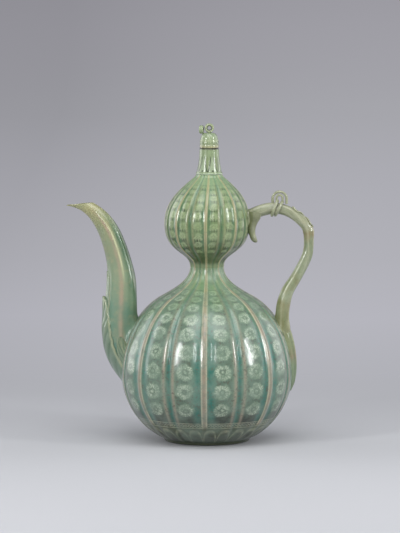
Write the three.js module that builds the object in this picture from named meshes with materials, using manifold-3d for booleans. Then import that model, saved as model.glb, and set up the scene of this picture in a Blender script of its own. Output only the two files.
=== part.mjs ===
// A Korean celadon ewer shaped as a double gourd, in millimetres, +Z up.
// The ewer stands on its foot ring at z = 0. The spout points to -X and the handle is on +X.
// Each piece of clay that the potter throws, rolls or cuts is a mesh of its own, and a piece
// that is luted on a wall is cut to fit that wall. The stopper lifts out of the mouth.

import * as THREE from 'three';
import { mergeVertices } from 'three/addons/utils/BufferGeometryUtils.js';
import Module from 'manifold-3d';

const wasm = await Module();
wasm.setup();

// Driving dimensions of the double gourd
const footHeight = 3.2;
const footRadius = 46;
const footWidth = 7;
const footEdge = 0.9;
const lowerHeight = 184.6; // underside of the lower gourd to the waist
const bellyRadius = 91.5;
const bellyRise = 68.6; // underside of the lower gourd to its widest level
const shoulderRadius = 48; // where the lower gourd's curve turns hollow
const shoulderDrop = 31.5; // below the waist
const waistRadius = 17.7;
const upperHeight = 99.4; // waist to the foot of the neck
const upperRadius = 45;
const upperRise = 47; // waist to the widest level of the upper gourd
const crownRadius = 21; // where the upper gourd's curve turns hollow
const crownDrop = 7.9; // below the foot of the neck
const neckFootRadius = 13.6;
const neckHeight = 27.9;
const collarHeight = 2.4;
const collarProud = 1.1;
const lipRadius = 10.4;
const lipEdge = 0.6;
const wall = 4.5;
const floorThickness = 6;
const mouthBore = 7.5; // radius of the neck's bore
const neckLean = 2.4; // the neck stands a little nearer the handle than the gourd's axis
const luteGap = 0.3; // slip joint under a piece that is luted on

// Eight ribs and eight grooves divide each gourd into sixteen panels
const ribCount = 8;
const ribHeight = 1.3;
const ribHalfWidth = 1.9;
const hollowDepth = 0.8; // of the dip along each side of a rib
const hollowHalfWidth = 5.5;
const grooveDepth = 1.9;
const grooveHalfWidth = 2.6;
const panelBulge = 0.5;
const ribTurn = 2.2; // degrees that the ribs are turned from the spout and the handle
const ribDrift = 6.4; // degrees that the lower gourd's ribs lie nearer its back
const panelSteps = [0, 1.15, 3.2, 10.5, 19.3, 22.5]; // degrees from a rib to the next groove

// Stopper
const plugClearance = 0.6;
const plugLength = 11;
const plugTaper = 0.7;
const lidSeat = 0.3; // air between the lip and the resting cap
const lidRadius = 10.2;
const lidBandHeight = 4.2;
const lidBandGroove = 0.5;
const lidShoulderRadius = 9.2;
const lidShoulderRise = 10.2;
const lidHeight = 16.6;
const lidTopRadius = 6.9;
const loopRadius = 4.3; // to the middle of the strap
const sideLoopRadius = 3.8;
const loopStrap = 2.1; // thickness of the rolled strap
const loopDepth = 4.6; // width of the strap
const loopX = 0.1; // from the stopper's axis, towards the handle
const sideLoopX = -8.2;
const sideLoopDrop = 1.2; // of its seat, below the cap's top
const loopTurn = 8; // degrees the loop looks away from straight ahead
const sideLoopTurn = 84;
const loopSink = 0.4; // how deep a loop is pressed into the cap

// Spout
const spoutWall = 3.2;
const spoutLipWall = 1.7;
const spoutFacets = 8;
const spoutFluting = 0.06; // depth of the facets as a share of the half width
const spoutThin = 0.86; // width across, compared with the width in the spout's plane
const spoutWidth = 38.2; // at its root, in the spout's plane
const spoutTipReach = 147.5; // from the gourd's axis
const spoutTipRise = 18.3; // above the upper gourd's widest level
const spoutCutAngle = 7; // degrees the mouth's plane rises towards the gourd
const spoutRootRise = 26; // above the lower gourd's widest level
const pourHoleRadius = 8;
const outerSheathThickness = 3.4;
const sideSheathThickness = 2.3;

// Handle
const handleWidth = 12.8;
const handleReach = 109.4; // from the gourd's axis to the middle of the outer stretch
const handleRise = 16.5; // of the arch, above the upper gourd's widest level
const handleStartRise = 5; // where it leaves the wall, above that level
const handleFootRise = 37.5; // of its foot, above the lower gourd's widest level
const handleFootSink = 9.9; // how deep the foot's middle lies behind the wall's face
const handleFacets = 6;
const handleFluting = 0.05;
const handleThin = 0.92;
const rootLeafRise = 13.5; // above the handle's foot
const rootLeafDrop = 54.5; // below the handle's foot
const rootLeafProud = 8.6;
const curlRise = 9.5; // above the upper gourd's widest level
const curlDrop = 21; // below that level
const curlProud = 3.8;
const curlWidth = 8.4;

// Knot of thin vine on the handle
const tieX = 75; // from the gourd's axis
const wrapCord = 1.8; // radius
const wrapSpacing = 4.5;
const wrapTilt = 24;
const loopCord = 1.5; // radius
const coilCord = 1.3;
const loopSpan = 15; // between the middles of the arch's feet
const coilSpan = 6.4;
const loopRise = 12.1; // above the handle's back
const coilRise = 8.6;
const knotShift = 3; // of the arches, away from the gourd
const tendrilCord = 1;

// Heights and places that follow
const baseZ = footHeight;
const bellyZ = baseZ + bellyRise;
const waistZ = baseZ + lowerHeight;
const shoulderZ = waistZ - shoulderDrop;
const upperZ = waistZ + upperRise;
const neckZ = waistZ + upperHeight;
const crownZ = neckZ - crownDrop;
const lipZ = neckZ + neckHeight;
const lidZ = lipZ + lidSeat;
const lidTopZ = lidZ + lidHeight;
const spoutRootZ = bellyZ + spoutRootRise;
const spoutTipZ = upperZ + spoutTipRise;
const handleTopZ = upperZ + handleRise;
const handleFootZ = bellyZ + handleFootRise;

const degrees = THREE.MathUtils.degToRad;
const mix = THREE.MathUtils.lerp;

const glaze = (color, roughness = 0.18) =>
  new THREE.MeshStandardMaterial({ color, roughness, metalness: 0 });
const gourdGlaze = glaze(0x6f9c86);
const limbGlaze = glaze(0x8e9b70);
const sheathGlaze = glaze(0x7d9b7c);
const bareClay = glaze(0x8a6a50, 0.8);

// Solids and meshes
function solidFrom(positions, index) {
  const vertProperties = new Float32Array(positions);
  const solid = new wasm.Manifold(
    new wasm.Mesh({ numProp: 3, vertProperties, triVerts: new Uint32Array(index) }),
  );
  if (solid.volume() > 0) return solid;
  const turned = [];
  for (let i = 0; i < index.length; i += 3) turned.push(index[i], index[i + 2], index[i + 1]);
  return new wasm.Manifold(
    new wasm.Mesh({ numProp: 3, vertProperties, triVerts: new Uint32Array(turned) }),
  );
}

function toSolid(geometry) {
  const bare = geometry.clone();
  bare.deleteAttribute('normal');
  bare.deleteAttribute('uv');
  const merged = mergeVertices(bare, 1e-3);
  const corners = merged.index.array;
  const index = [];
  for (let i = 0; i < corners.length; i += 3) {
    const [a, b, c] = corners.slice(i, i + 3);
    if (a !== b && b !== c && a !== c) index.push(a, b, c);
  }
  return solidFrom(merged.attributes.position.array, index);
}

function toGeometry(solid) {
  const mesh = solid.getMesh();
  const geometry = new THREE.BufferGeometry();
  geometry.setAttribute('position', new THREE.BufferAttribute(mesh.vertProperties, 3));
  geometry.setIndex(new THREE.BufferAttribute(mesh.triVerts, 1));
  geometry.computeVertexNormals();
  return geometry;
}

function piece(name, solid, material) {
  const mesh = new THREE.Mesh(toGeometry(solid), material);
  mesh.name = name;
  return mesh;
}

// A loft: a closed skin over rings of points, capped at both ends or joined end to end
function loft(rings, joined = false) {
  const count = rings[0].length;
  const positions = rings.flat().flatMap((p) => [p.x, p.y, p.z]);
  const index = [];
  const spans = joined ? rings.length : rings.length - 1;
  for (let i = 0; i < spans; i += 1) {
    const here = i * count;
    const there = ((i + 1) % rings.length) * count;
    for (let j = 0; j < count; j += 1) {
      const next = (j + 1) % count;
      index.push(here + j, here + next, there + next);
      index.push(here + j, there + next, there + j);
    }
  }
  const ends = joined ? [] : [0, rings.length - 1];
  for (const end of ends) {
    const middle = new THREE.Vector3();
    rings[end].forEach((p) => middle.add(p));
    middle.divideScalar(count);
    const centre = positions.length / 3;
    positions.push(middle.x, middle.y, middle.z);
    for (let j = 0; j < count; j += 1) {
      const next = (j + 1) % count;
      const [a, b] = end === 0 ? [next, j] : [j, next];
      index.push(centre, end * count + a, end * count + b);
    }
  }
  return solidFrom(positions, index);
}

// A profile of [radius, height] points turned about Z
function revolved(points, segments) {
  const profile = points.map(([r, z]) => new THREE.Vector2(r, z));
  return new THREE.LatheGeometry(profile, segments).rotateX(Math.PI / 2);
}

// How far the middle of the ewer has moved towards the handle at a height
const leanAt = (z) => neckLean * THREE.MathUtils.smoothstep(z, upperZ, neckZ);

function leaned(geometry) {
  const { position } = geometry.attributes;
  for (let i = 0; i < position.count; i += 1) {
    position.setX(i, position.getX(i) + leanAt(position.getZ(i)));
  }
  return geometry;
}

const turned = (points, segments) => toSolid(leaned(revolved(points, segments)));

// A cubic curve through [radius, height] points, as [radius, height] points without its first
function curvePoints(points, steps) {
  const path = new THREE.CubicBezierCurve(...points.map(([r, z]) => new THREE.Vector2(r, z)));
  return path
    .getPoints(steps)
    .slice(1)
    .map((p) => [p.x, p.y]);
}

// Double gourd
const lowerCurves = [
  [
    [footRadius, baseZ],
    [mix(footRadius, bellyRadius, 0.46), baseZ + 0.1 * bellyRise],
    [bellyRadius, bellyZ - 0.48 * bellyRise],
    [bellyRadius, bellyZ],
  ],
  [
    [bellyRadius, bellyZ],
    [bellyRadius, mix(bellyZ, shoulderZ, 0.52)],
    [mix(shoulderRadius, bellyRadius, 0.48), mix(shoulderZ, bellyZ, 0.136)],
    [shoulderRadius, shoulderZ],
  ],
  [
    [shoulderRadius, shoulderZ],
    [mix(shoulderRadius, waistRadius, 0.634), shoulderZ + 0.336 * shoulderDrop],
    [waistRadius, waistZ - 0.4 * shoulderDrop],
    [waistRadius, waistZ],
  ],
];

const upperCurves = [
  [
    [waistRadius, waistZ],
    [waistRadius, waistZ + 0.36 * upperRise],
    [upperRadius, upperZ - 0.73 * upperRise],
    [upperRadius, upperZ],
  ],
  [
    [upperRadius, upperZ],
    [upperRadius, mix(upperZ, crownZ, 0.49)],
    [mix(crownRadius, upperRadius, 0.504), mix(crownZ, upperZ, 0.247)],
    [crownRadius, crownZ],
  ],
  [
    [crownRadius, crownZ],
    [mix(crownRadius, neckFootRadius, 0.54), crownZ + 0.456 * crownDrop],
    [mix(neckFootRadius, crownRadius, 0.108), neckZ - 0.38 * crownDrop],
    [neckFootRadius, neckZ],
  ],
];

// Points along joined curves, moved inwards by an inset
function profileOf(curves, steps, inset = 0) {
  const points = [curves[0][0]];
  curves.forEach((curve, i) => points.push(...curvePoints(curve, steps[i])));
  return points.map(([r, z], i) => {
    const [r0, z0] = points[Math.max(0, i - 1)];
    const [r1, z1] = points[Math.min(points.length - 1, i + 1)];
    const length = Math.hypot(r1 - r0, z1 - z0);
    return [r - (inset * (z1 - z0)) / length, z + (inset * (r1 - r0)) / length];
  });
}

const fineLower = profileOf(lowerCurves, [40, 40, 40]);
const fineUpper = profileOf(upperCurves, [40, 40, 40]);

// Radius of the gourd's wall at a height
function radiusAt(z) {
  const table = z < waistZ ? fineLower : fineUpper;
  const at = table.findIndex(([, height]) => height >= z);
  const [r0, z0] = table[at - 1];
  const [r1, z1] = table[at];
  return mix(r0, r1, (z - z0) / (z1 - z0));
}

// Height of the relief at an angle from the nearest rib, softer where the gourd is narrow
function relief(angle, radius) {
  const half = Math.PI / ribCount;
  const fade = Math.sqrt(Math.min(1, radius / bellyRadius));
  const swell = (distance, width) => Math.exp(-((distance / (width * fade)) ** 2));
  const rib = ribHeight * swell(angle * radius, ribHalfWidth);
  const hollow = hollowDepth * swell(angle * radius - ribHalfWidth, hollowHalfWidth);
  const groove = grooveDepth * swell((half - angle) * radius, grooveHalfWidth);
  const bulge = panelBulge * Math.sin((Math.PI * angle) / half);
  return fade * (rib - hollow - groove + bulge);
}

// Angles round the gourd, each with its angle from the nearest rib
const ringAngles = [];
for (let k = 0; k < ribCount; k += 1) {
  const middle = (k * 2 * Math.PI) / ribCount;
  const away = panelSteps.map(degrees);
  ringAngles.push(...away.slice(1, -1).reverse().map((a) => [middle - a, a]));
  ringAngles.push(...away.map((a) => [middle + a, a]));
}

// The ribs are drawn by hand: where a line that was meant for an angle stands in truth
function drawnAngle(angle, z) {
  const low = 1 - THREE.MathUtils.smoothstep(z, shoulderZ, waistZ);
  return angle + degrees(ribTurn + ribDrift * Math.cos(angle) * low);
}

// The full outer form of a gourd, grown by a little to cut what is luted on it
function gourdForm(curves, steps, grow = 0) {
  const rings = profileOf(curves, steps, -grow).map(([r, z]) =>
    ringAngles.map(([meant, fromRib]) => {
      const radius = r + relief(fromRib, r);
      const angle = drawnAngle(meant, z);
      return new THREE.Vector3(radius * Math.cos(angle) + leanAt(z), radius * Math.sin(angle), z);
    }),
  );
  return loft(rings);
}

const lowerSteps = [6, 7, 4];
const upperSteps = [5, 5, 3];
const grownGourds = gourdForm(lowerCurves, lowerSteps, luteGap).add(
  gourdForm(upperCurves, upperSteps, luteGap),
);

function makeLowerGourd() {
  const floorZ = baseZ + floorThickness;
  const inner = profileOf(lowerCurves, [5, 6, 5], wall).filter(([, z]) => z > floorZ + 1);
  const [lastRadius] = inner[inner.length - 1];
  const corner = [inner[0][0] - wall, floorZ];
  const hollow = [[0, floorZ], corner, ...inner, [lastRadius, waistZ + 1], [0, waistZ + 1]];
  const hole = new THREE.CylinderGeometry(pourHoleRadius, pourHoleRadius, bellyRadius, 16);
  hole.rotateZ(Math.PI / 2).translate(-bellyRadius, 0, spoutRootZ);
  return gourdForm(lowerCurves, lowerSteps)
    .subtract(turned(hollow, 24))
    .subtract(toSolid(hole));
}

function makeUpperGourd() {
  const inner = profileOf(upperCurves, [5, 5, 3], wall);
  const [firstRadius] = inner[0];
  const bottom = waistZ - 1;
  const top = neckZ + 1;
  const hollow = [
    [0, bottom],
    [firstRadius, bottom],
    ...inner.slice(1, -1),
    [mouthBore, neckZ - wall],
    [mouthBore, top],
    [0, top],
  ];
  return gourdForm(upperCurves, upperSteps)
    .translate([0, 0, luteGap])
    .subtract(turned(hollow, 24));
}

// Neck, foot ring and stopper, all turned on the wheel
function makeNeck() {
  const foot = neckZ + 2 * luteGap;
  const collar = neckFootRadius + collarProud;
  const profile = [
    [mouthBore, foot],
    [neckFootRadius, foot],
    [collar, foot + 0.25 * collarHeight],
    [collar, foot + 0.6 * collarHeight],
    [neckFootRadius - 0.2, foot + collarHeight],
    ...curvePoints(
      [
        [neckFootRadius - 0.2, foot + collarHeight],
        [lipRadius + 1.2, foot + 0.4 * neckHeight],
        [lipRadius + 0.2, foot + 0.55 * neckHeight],
        [lipRadius, lipZ - lipEdge],
      ],
      6,
    ),
    [lipRadius - lipEdge, lipZ],
    [mouthBore, lipZ],
    [mouthBore, foot],
  ];
  return turned(profile, 24);
}

function makeFootRing() {
  const inner = footRadius - footWidth;
  const top = baseZ - luteGap;
  const profile = [
    [inner, footEdge],
    [inner + footEdge, 0],
    [footRadius - footEdge, 0],
    [footRadius, footEdge],
    [footRadius, top],
    [inner, top],
    [inner, footEdge],
  ];
  return turned(profile, 40);
}

function capProfile(grow = 0) {
  const out = (r, z) => [r + grow, lidZ + z + grow];
  return [
    [0, lidZ],
    [lidRadius - 0.5 + grow, lidZ],
    out(lidRadius, 0.5),
    out(lidRadius, lidBandHeight - 0.6),
    out(lidRadius - lidBandGroove, lidBandHeight),
    out(lidRadius - 0.1, lidBandHeight + 0.6),
    out(lidShoulderRadius, lidShoulderRise),
    out(mix(lidShoulderRadius, lidTopRadius, 0.4), mix(lidShoulderRise, lidHeight, 0.5)),
    out(lidTopRadius, lidHeight - 1.2),
    out(0.65 * lidTopRadius, lidHeight - 0.3),
    [0, lidTopZ + grow],
  ];
}

function makePlug() {
  const top = lidZ - luteGap;
  const radius = mouthBore - plugClearance;
  const profile = [
    [0, top],
    [radius, top],
    [radius - plugTaper, top - plugLength + 0.8],
    [radius - plugTaper - 0.8, top - plugLength],
    [0, top - plugLength],
  ];
  return turned(profile, 24);
}

// A strap rolled into a ring that stands on the cap, turned about Z
function makeLoop(radius, x, turn, seatZ) {
  const profile = [];
  const sides = 8;
  for (let k = 0; k <= sides; k += 1) {
    const angle = ((k % sides) * 2 * Math.PI) / sides;
    profile.push([
      radius + (loopStrap / 2) * Math.cos(angle),
      (loopDepth / 2) * Math.sin(angle),
    ]);
  }
  const ring = revolved(profile, 20).rotateX(Math.PI / 2).rotateZ(degrees(turn));
  ring.translate(neckLean + x, 0, seatZ - loopSink + radius + loopStrap / 2);
  return toSolid(ring).subtract(turned(capProfile(luteGap), 24));
}

// Limbs: a path in the XZ plane through stations of [x, z, width]
function makeLimb(stations, { facets, fluting, thin }) {
  const points = stations.map(([x, z]) => new THREE.Vector3(x, 0, z));
  const path = new THREE.CatmullRomCurve3(points, false, 'centripetal');
  return { path, stations, facets, fluting, thin };
}

function halfWidth(limb, t) {
  const last = limb.stations.length - 1;
  const i = Math.min(Math.floor(t * last), last - 1);
  return mix(limb.stations[i][2], limb.stations[i + 1][2], t * last - i) / 2;
}

// A point on a limb: t along its path, and an angle round it from its outer side by -Y
function limbPoint(limb, t, angle, grow = 0) {
  const along = limb.path.getTangent(t);
  const outwards = new THREE.Vector3(-along.z, 0, along.x);
  const facet = 1 - limb.fluting * Math.abs(Math.sin((limb.facets * angle) / 2));
  const half = halfWidth(limb, t) * facet;
  const point = limb.path.getPoint(t);
  point.addScaledVector(outwards, (half + grow) * Math.cos(angle));
  point.y = -(half * limb.thin + grow) * Math.sin(angle);
  return point;
}

function limbForm(limb, { from = 0, to = 1, steps, sides, grow = () => 0 }) {
  const rings = [];
  for (let i = 0; i <= steps; i += 1) {
    const t = mix(from, to, i / steps);
    const ring = [];
    for (let j = 0; j < sides; j += 1) {
      ring.push(limbPoint(limb, t, (j * 2 * Math.PI) / sides, grow(t)));
    }
    rings.push(ring);
  }
  return loft(rings);
}

// Spout
const rootX = -radiusAt(spoutRootZ);
const tipX = -spoutTipReach;
// Each station is its share of the way back from the tip to the wall, its share of the rise
// from the root to the tip, and its width as a share of the root's
const spout = makeLimb(
  [
    [1.577, -0.232, 0.97],
    [1.221, -0.132, 0.995],
    [1.007, -0.006, 1],
    [0.934, 0.124, 0.97],
    [0.93, 0.234, 0.927],
    [0.944, 0.361, 0.864],
    [0.944, 0.485, 0.801],
    [0.9, 0.601, 0.707],
    [0.823, 0.71, 0.644],
    [0.722, 0.81, 0.592],
    [0.587, 0.894, 0.518],
    [0.433, 0.956, 0.424],
    [0.255, 0.999, 0.34],
    [0.059, 1.021, 0.277],
    [-0.136, 1.03, 0.236],
  ].map(([back, up, width]) => [
    mix(tipX, rootX, back),
    mix(spoutRootZ, spoutTipZ, up),
    width * spoutWidth,
  ]),
  { facets: spoutFacets, fluting: spoutFluting, thin: spoutThin },
);
const spoutMesh = { steps: 25, sides: 16 };
const grownSpout = limbForm(spout, { ...spoutMesh, grow: () => luteGap });

// Everything above the plane of the spout's mouth
function mouthCutter() {
  const size = 1.6 * spoutWidth;
  const box = new THREE.BoxGeometry(size, size, size);
  box.translate(0.27 * size, 0, 0.5 * size);
  box.rotateY(-degrees(spoutCutAngle));
  return toSolid(box.translate(tipX, 0, spoutTipZ));
}

function makeSpout() {
  const bore = limbForm(
    { ...spout, fluting: 0 },
    { from: 0.02, steps: 20, sides: 12, grow: (t) => -mix(spoutWall, spoutLipWall, t) },
  );
  return limbForm(spout, spoutMesh).subtract(bore).subtract(mouthCutter()).subtract(grownGourds);
}

// A pointed leaf wrapped on the spout, from its root to its tip, about an angle round the spout
function makeSheath({ tip, angle, spread, thickness }) {
  const root = 0.02;
  const steps = 9;
  const across = 6;
  const rings = [];
  for (let i = 0; i <= steps; i += 1) {
    const share = i / steps;
    const t = mix(root, tip, share);
    const reach = spread * (1 - share) ** 0.5 + 0.04;
    const top = thickness * mix(0.7, 1.3, share);
    const ring = [];
    for (let j = 0; j <= across; j += 1) {
      const side = (2 * j) / across - 1;
      const crown = mix(0.55, 1, 1 - side ** 4);
      ring.push(limbPoint(spout, t, angle + side * reach, luteGap + top * crown));
    }
    for (let j = across; j >= 0; j -= 1) {
      const side = (2 * j) / across - 1;
      ring.push(limbPoint(spout, t, angle + side * reach, -1));
    }
    rings.push(ring);
  }
  return loft(rings).subtract(grownSpout).subtract(grownGourds);
}

// Handle
const startX = radiusAt(upperZ + handleStartRise);
const footX = radiusAt(handleFootZ) - handleFootSink;
// Each station is its share of the way out from the wall, its share of the drop from the top
// to the foot, and its width as a share of the handle's
const archStations = [
  [-0.093, 0.113, 0.9],
  [0.07, 0.044, 0.97],
  [0.171, 0.024, 1],
  [0.284, 0.0085, 1],
  [0.394, 0, 0.97],
  [0.519, 0.004, 0.94],
  [0.651, 0.023, 0.906],
  [0.767, 0.054, 0.875],
  [0.866, 0.091, 0.86],
  [0.95, 0.13, 0.89],
  [0.994, 0.173, 0.922],
  [1, 0.232, 0.844],
];
// The way down to the foot: share of the way back in, and the rest as above
const fallStations = [
  [0.006, 0.292, 0.844],
  [0.047, 0.349, 0.906],
  [0.147, 0.408, 0.922],
  [0.412, 0.528, 0.953],
  [0.676, 0.634, 1.08],
  [0.8, 0.739, 1.2],
  [0.83, 0.838, 1.17],
  [0.882, 0.923, 1.05],
  [1, 1, 0.828],
];
const handleStation = (x, down, width) => [
  x,
  mix(handleTopZ, handleFootZ, down),
  width * handleWidth,
];
const handle = makeLimb(
  [
    ...archStations.map(([out, ...rest]) => handleStation(mix(startX, handleReach, out), ...rest)),
    ...fallStations.map(([back, ...rest]) => handleStation(mix(handleReach, footX, back), ...rest)),
  ],
  { facets: handleFacets, fluting: handleFluting, thin: handleThin },
);
const handleMesh = { steps: 38, sides: 12 };
const grownHandle = limbForm(handle, { ...handleMesh, grow: () => luteGap });

// Share of the handle's path at a distance from the gourd's axis, on the arch
function handleShareAt(x) {
  let share = 0;
  while (handle.path.getPoint(share).x < x) share += 0.001;
  return share;
}

// The tail at the handle's foot, half sunk in the wall, thinner towards its tip
function makeRootLeaf() {
  const stations = [];
  const count = 6;
  for (let k = 0; k <= count; k += 1) {
    const share = k / count;
    const z = handleFootZ + mix(rootLeafRise, -rootLeafDrop, share);
    const proud = rootLeafProud * (1 - 0.55 * share) * Math.sqrt(1.04 - share ** 6);
    stations.push([radiusAt(z), z, 2 * proud]);
  }
  const leaf = makeLimb(stations, { facets: 4, fluting: 0, thin: 0.85 });
  return limbForm(leaf, { steps: 12, sides: 10 }).subtract(grownGourds).subtract(grownHandle);
}

// The leaf below the handle's start, flicked out at its tip
function makeCurlLeaf() {
  const stations = [
    [0, 1, 0.905],
    [0.311, 1, 1],
    [0.574, 1.1, 0.952],
    [0.803, 1.63, 0.88],
    [1, 2.63, 0.43],
  ].map(([down, proud, width]) => {
    const z = upperZ + mix(curlRise, -curlDrop, down);
    return [radiusAt(z) + proud * curlProud, z, width * curlWidth];
  });
  const leaf = makeLimb(stations, { facets: 4, fluting: 0, thin: 1.15 });
  return limbForm(leaf, { steps: 10, sides: 10 }).subtract(grownGourds).subtract(grownHandle);
}

// A round cord along a curve
function cord(points, radius, { steps, sides = 8, joined = false }) {
  const path = new THREE.CatmullRomCurve3(points, joined, 'centripetal');
  const frames = path.computeFrenetFrames(steps, joined);
  const rings = [];
  const count = joined ? steps : steps + 1;
  for (let i = 0; i < count; i += 1) {
    const centre = path.getPointAt(i / steps);
    const ring = [];
    for (let j = 0; j < sides; j += 1) {
      const angle = (j * 2 * Math.PI) / sides;
      const point = centre.clone();
      point.addScaledVector(frames.normals[i], radius * Math.cos(angle));
      point.addScaledVector(frames.binormals[i], radius * Math.sin(angle));
      ring.push(point);
    }
    rings.push(ring);
  }
  return loft(rings, joined);
}

// One turn of vine round the handle, leaning away from the gourd at the top
function wrapForm(x, grow = 0) {
  const share = handleShareAt(x);
  const along = handle.path.getTangent(share);
  const lean = halfWidth(handle, share) * Math.tan(degrees(wrapTilt));
  const points = [];
  const count = 14;
  for (let k = 0; k < count; k += 1) {
    const angle = (k * 2 * Math.PI) / count;
    const point = limbPoint(handle, share, angle, 2 * luteGap + wrapCord);
    points.push(point.addScaledVector(along, lean * Math.cos(angle)));
  }
  return cord(points, wrapCord + grow, { steps: 20, sides: 7, joined: true });
}

const wrapPlaces = [tieX - wrapSpacing / 2, tieX + wrapSpacing / 2];
const grownWraps = wrapPlaces
  .map((x) => wrapForm(x, luteGap))
  .reduce((all, wrap) => all.add(wrap));

// An arch of vine that stands on the handle's back, or on the turns round it
function makeArch({ span, rise, radius, seat }) {
  const share = handleShareAt(tieX + knotShift);
  const foot = handle.path.getPoint(share);
  const backZ = foot.z + halfWidth(handle, share);
  const height = rise - span / 2;
  const points = [new THREE.Vector3(foot.x - span / 2, 0, backZ + seat)];
  const count = 8;
  for (let k = 0; k <= count; k += 1) {
    const angle = Math.PI * (1 - k / count);
    const x = foot.x + (span / 2) * Math.cos(angle);
    points.push(new THREE.Vector3(x, 0, backZ + height + (span / 2) * Math.sin(angle)));
  }
  points.push(new THREE.Vector3(foot.x + span / 2, 0, backZ + seat));
  return cord(points, radius, { steps: 18 }).subtract(grownHandle).subtract(grownWraps);
}

// The thin tendril that lies on the handle's back beyond the knot
function makeTendril() {
  const from = handleShareAt(tieX + knotShift + loopSpan / 2 + loopCord + tendrilCord + 1);
  const to = from + 0.17;
  const points = [];
  const count = 9;
  for (let k = 0; k <= count; k += 1) {
    const sway = 0.5 * Math.sin((3 * Math.PI * k) / count);
    points.push(limbPoint(handle, mix(from, to, k / count), sway, luteGap + 0.7 * tendrilCord));
  }
  return cord(points, tendrilCord, { steps: 14, sides: 6 }).subtract(grownHandle);
}

// Assembly
const ewer = new THREE.Group();
ewer.add(
  piece('lower_gourd', makeLowerGourd(), gourdGlaze),
  piece('upper_gourd', makeUpperGourd(), gourdGlaze),
  piece('neck', makeNeck(), gourdGlaze),
  piece('foot_ring', makeFootRing(), bareClay),
  piece('spout', makeSpout(), limbGlaze),
);

const outerSheath = { tip: 0.36, angle: 0, spread: degrees(52), thickness: outerSheathThickness };
const sideSheath = { tip: 0.2, spread: degrees(30), thickness: sideSheathThickness };
const sideAngle = degrees(90);
ewer.add(
  piece('spout_sheath_outer', makeSheath(outerSheath), sheathGlaze),
  piece('spout_sheath_near', makeSheath({ ...sideSheath, angle: sideAngle }), sheathGlaze),
  piece('spout_sheath_far', makeSheath({ ...sideSheath, angle: -sideAngle }), sheathGlaze),
);

ewer.add(
  piece('handle_vine', limbForm(handle, handleMesh).subtract(grownGourds), limbGlaze),
  piece('handle_root_leaf', makeRootLeaf(), sheathGlaze),
  piece('handle_curl_leaf', makeCurlLeaf(), sheathGlaze),
);

const loopArch = { span: loopSpan, rise: loopRise, radius: loopCord, seat: -3 };
const coilArch = { span: coilSpan, rise: coilRise, radius: coilCord, seat: 1.9 * wrapCord };
wrapPlaces.forEach((x, i) => {
  ewer.add(piece(`tie_wrap_${i + 1}`, wrapForm(x).subtract(grownHandle), limbGlaze));
});
ewer.add(
  piece('tie_loop', makeArch(loopArch), limbGlaze),
  piece('tie_coil', makeArch(coilArch), limbGlaze),
  piece('tie_tendril', makeTendril(), limbGlaze),
);

const stopper = new THREE.Group();
stopper.add(
  piece('lid_cap', turned(capProfile(), 24), gourdGlaze),
  piece('lid_plug', makePlug(), bareClay),
  piece('lid_loop', makeLoop(loopRadius, loopX, loopTurn, lidTopZ), gourdGlaze),
  piece(
    'lid_side_loop',
    makeLoop(sideLoopRadius, sideLoopX, sideLoopTurn, lidTopZ - sideLoopDrop),
    gourdGlaze,
  ),
);
ewer.add(stopper);

// The origin is the middle of the ewer's length and width, on the ground
const middle = new THREE.Box3().setFromObject(ewer).getCenter(new THREE.Vector3());
ewer.position.set(-middle.x, -middle.y, 0);

const root = new THREE.Group();
root.add(ewer);

export default root;
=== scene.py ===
import math
from functools import partial

import bpy
import numpy as np
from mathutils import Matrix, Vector


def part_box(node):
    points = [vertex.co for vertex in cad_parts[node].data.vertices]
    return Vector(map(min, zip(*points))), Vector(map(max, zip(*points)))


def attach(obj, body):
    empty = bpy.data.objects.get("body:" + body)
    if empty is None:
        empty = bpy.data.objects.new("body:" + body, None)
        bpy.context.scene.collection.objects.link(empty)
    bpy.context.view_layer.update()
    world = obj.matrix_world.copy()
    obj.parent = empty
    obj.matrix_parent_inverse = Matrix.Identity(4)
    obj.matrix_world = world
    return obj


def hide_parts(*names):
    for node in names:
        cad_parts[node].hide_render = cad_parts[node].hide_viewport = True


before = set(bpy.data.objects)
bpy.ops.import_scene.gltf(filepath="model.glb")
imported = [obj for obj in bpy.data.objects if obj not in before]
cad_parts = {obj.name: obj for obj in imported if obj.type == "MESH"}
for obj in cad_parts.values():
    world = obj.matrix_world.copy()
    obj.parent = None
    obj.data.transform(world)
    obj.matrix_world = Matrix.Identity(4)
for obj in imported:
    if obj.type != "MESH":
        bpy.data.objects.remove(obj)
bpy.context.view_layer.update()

# An inlaid celadon ewer in the shape of a double gourd. Shapes are worked out in
# millimetres from the gourd's own axis, and put in their place in metres at the end.
mm = 0.001
tau = 2 * math.pi
sharpFrom = 50  # degrees between two faces, from which their edge is shaded as a crease
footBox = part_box("foot_ring")
axisX = (footBox[0][0] + footBox[1][0]) / 2  # where the gourd's axis stands, in metres


# Shared tools
def hexColour(code):
    # sRGB to linear: c / 12.92 up to 0.04045, else ((c + 0.055) / 1.055) to the power 2.4
    parts = np.array([int(code[i : i + 2], 16) for i in (1, 3, 5)]) / 255
    linear = np.where(parts <= 0.04045, parts / 12.92, ((parts + 0.055) / 1.055) ** 2.4)
    return (*linear.tolist(), 1.0)


# What the second word of a node's kind sets
modeOf = {
    "Math": "operation", "VectorMath": "operation", "MapRange": "interpolation_type", "Mix": "data_type",
}


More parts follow.
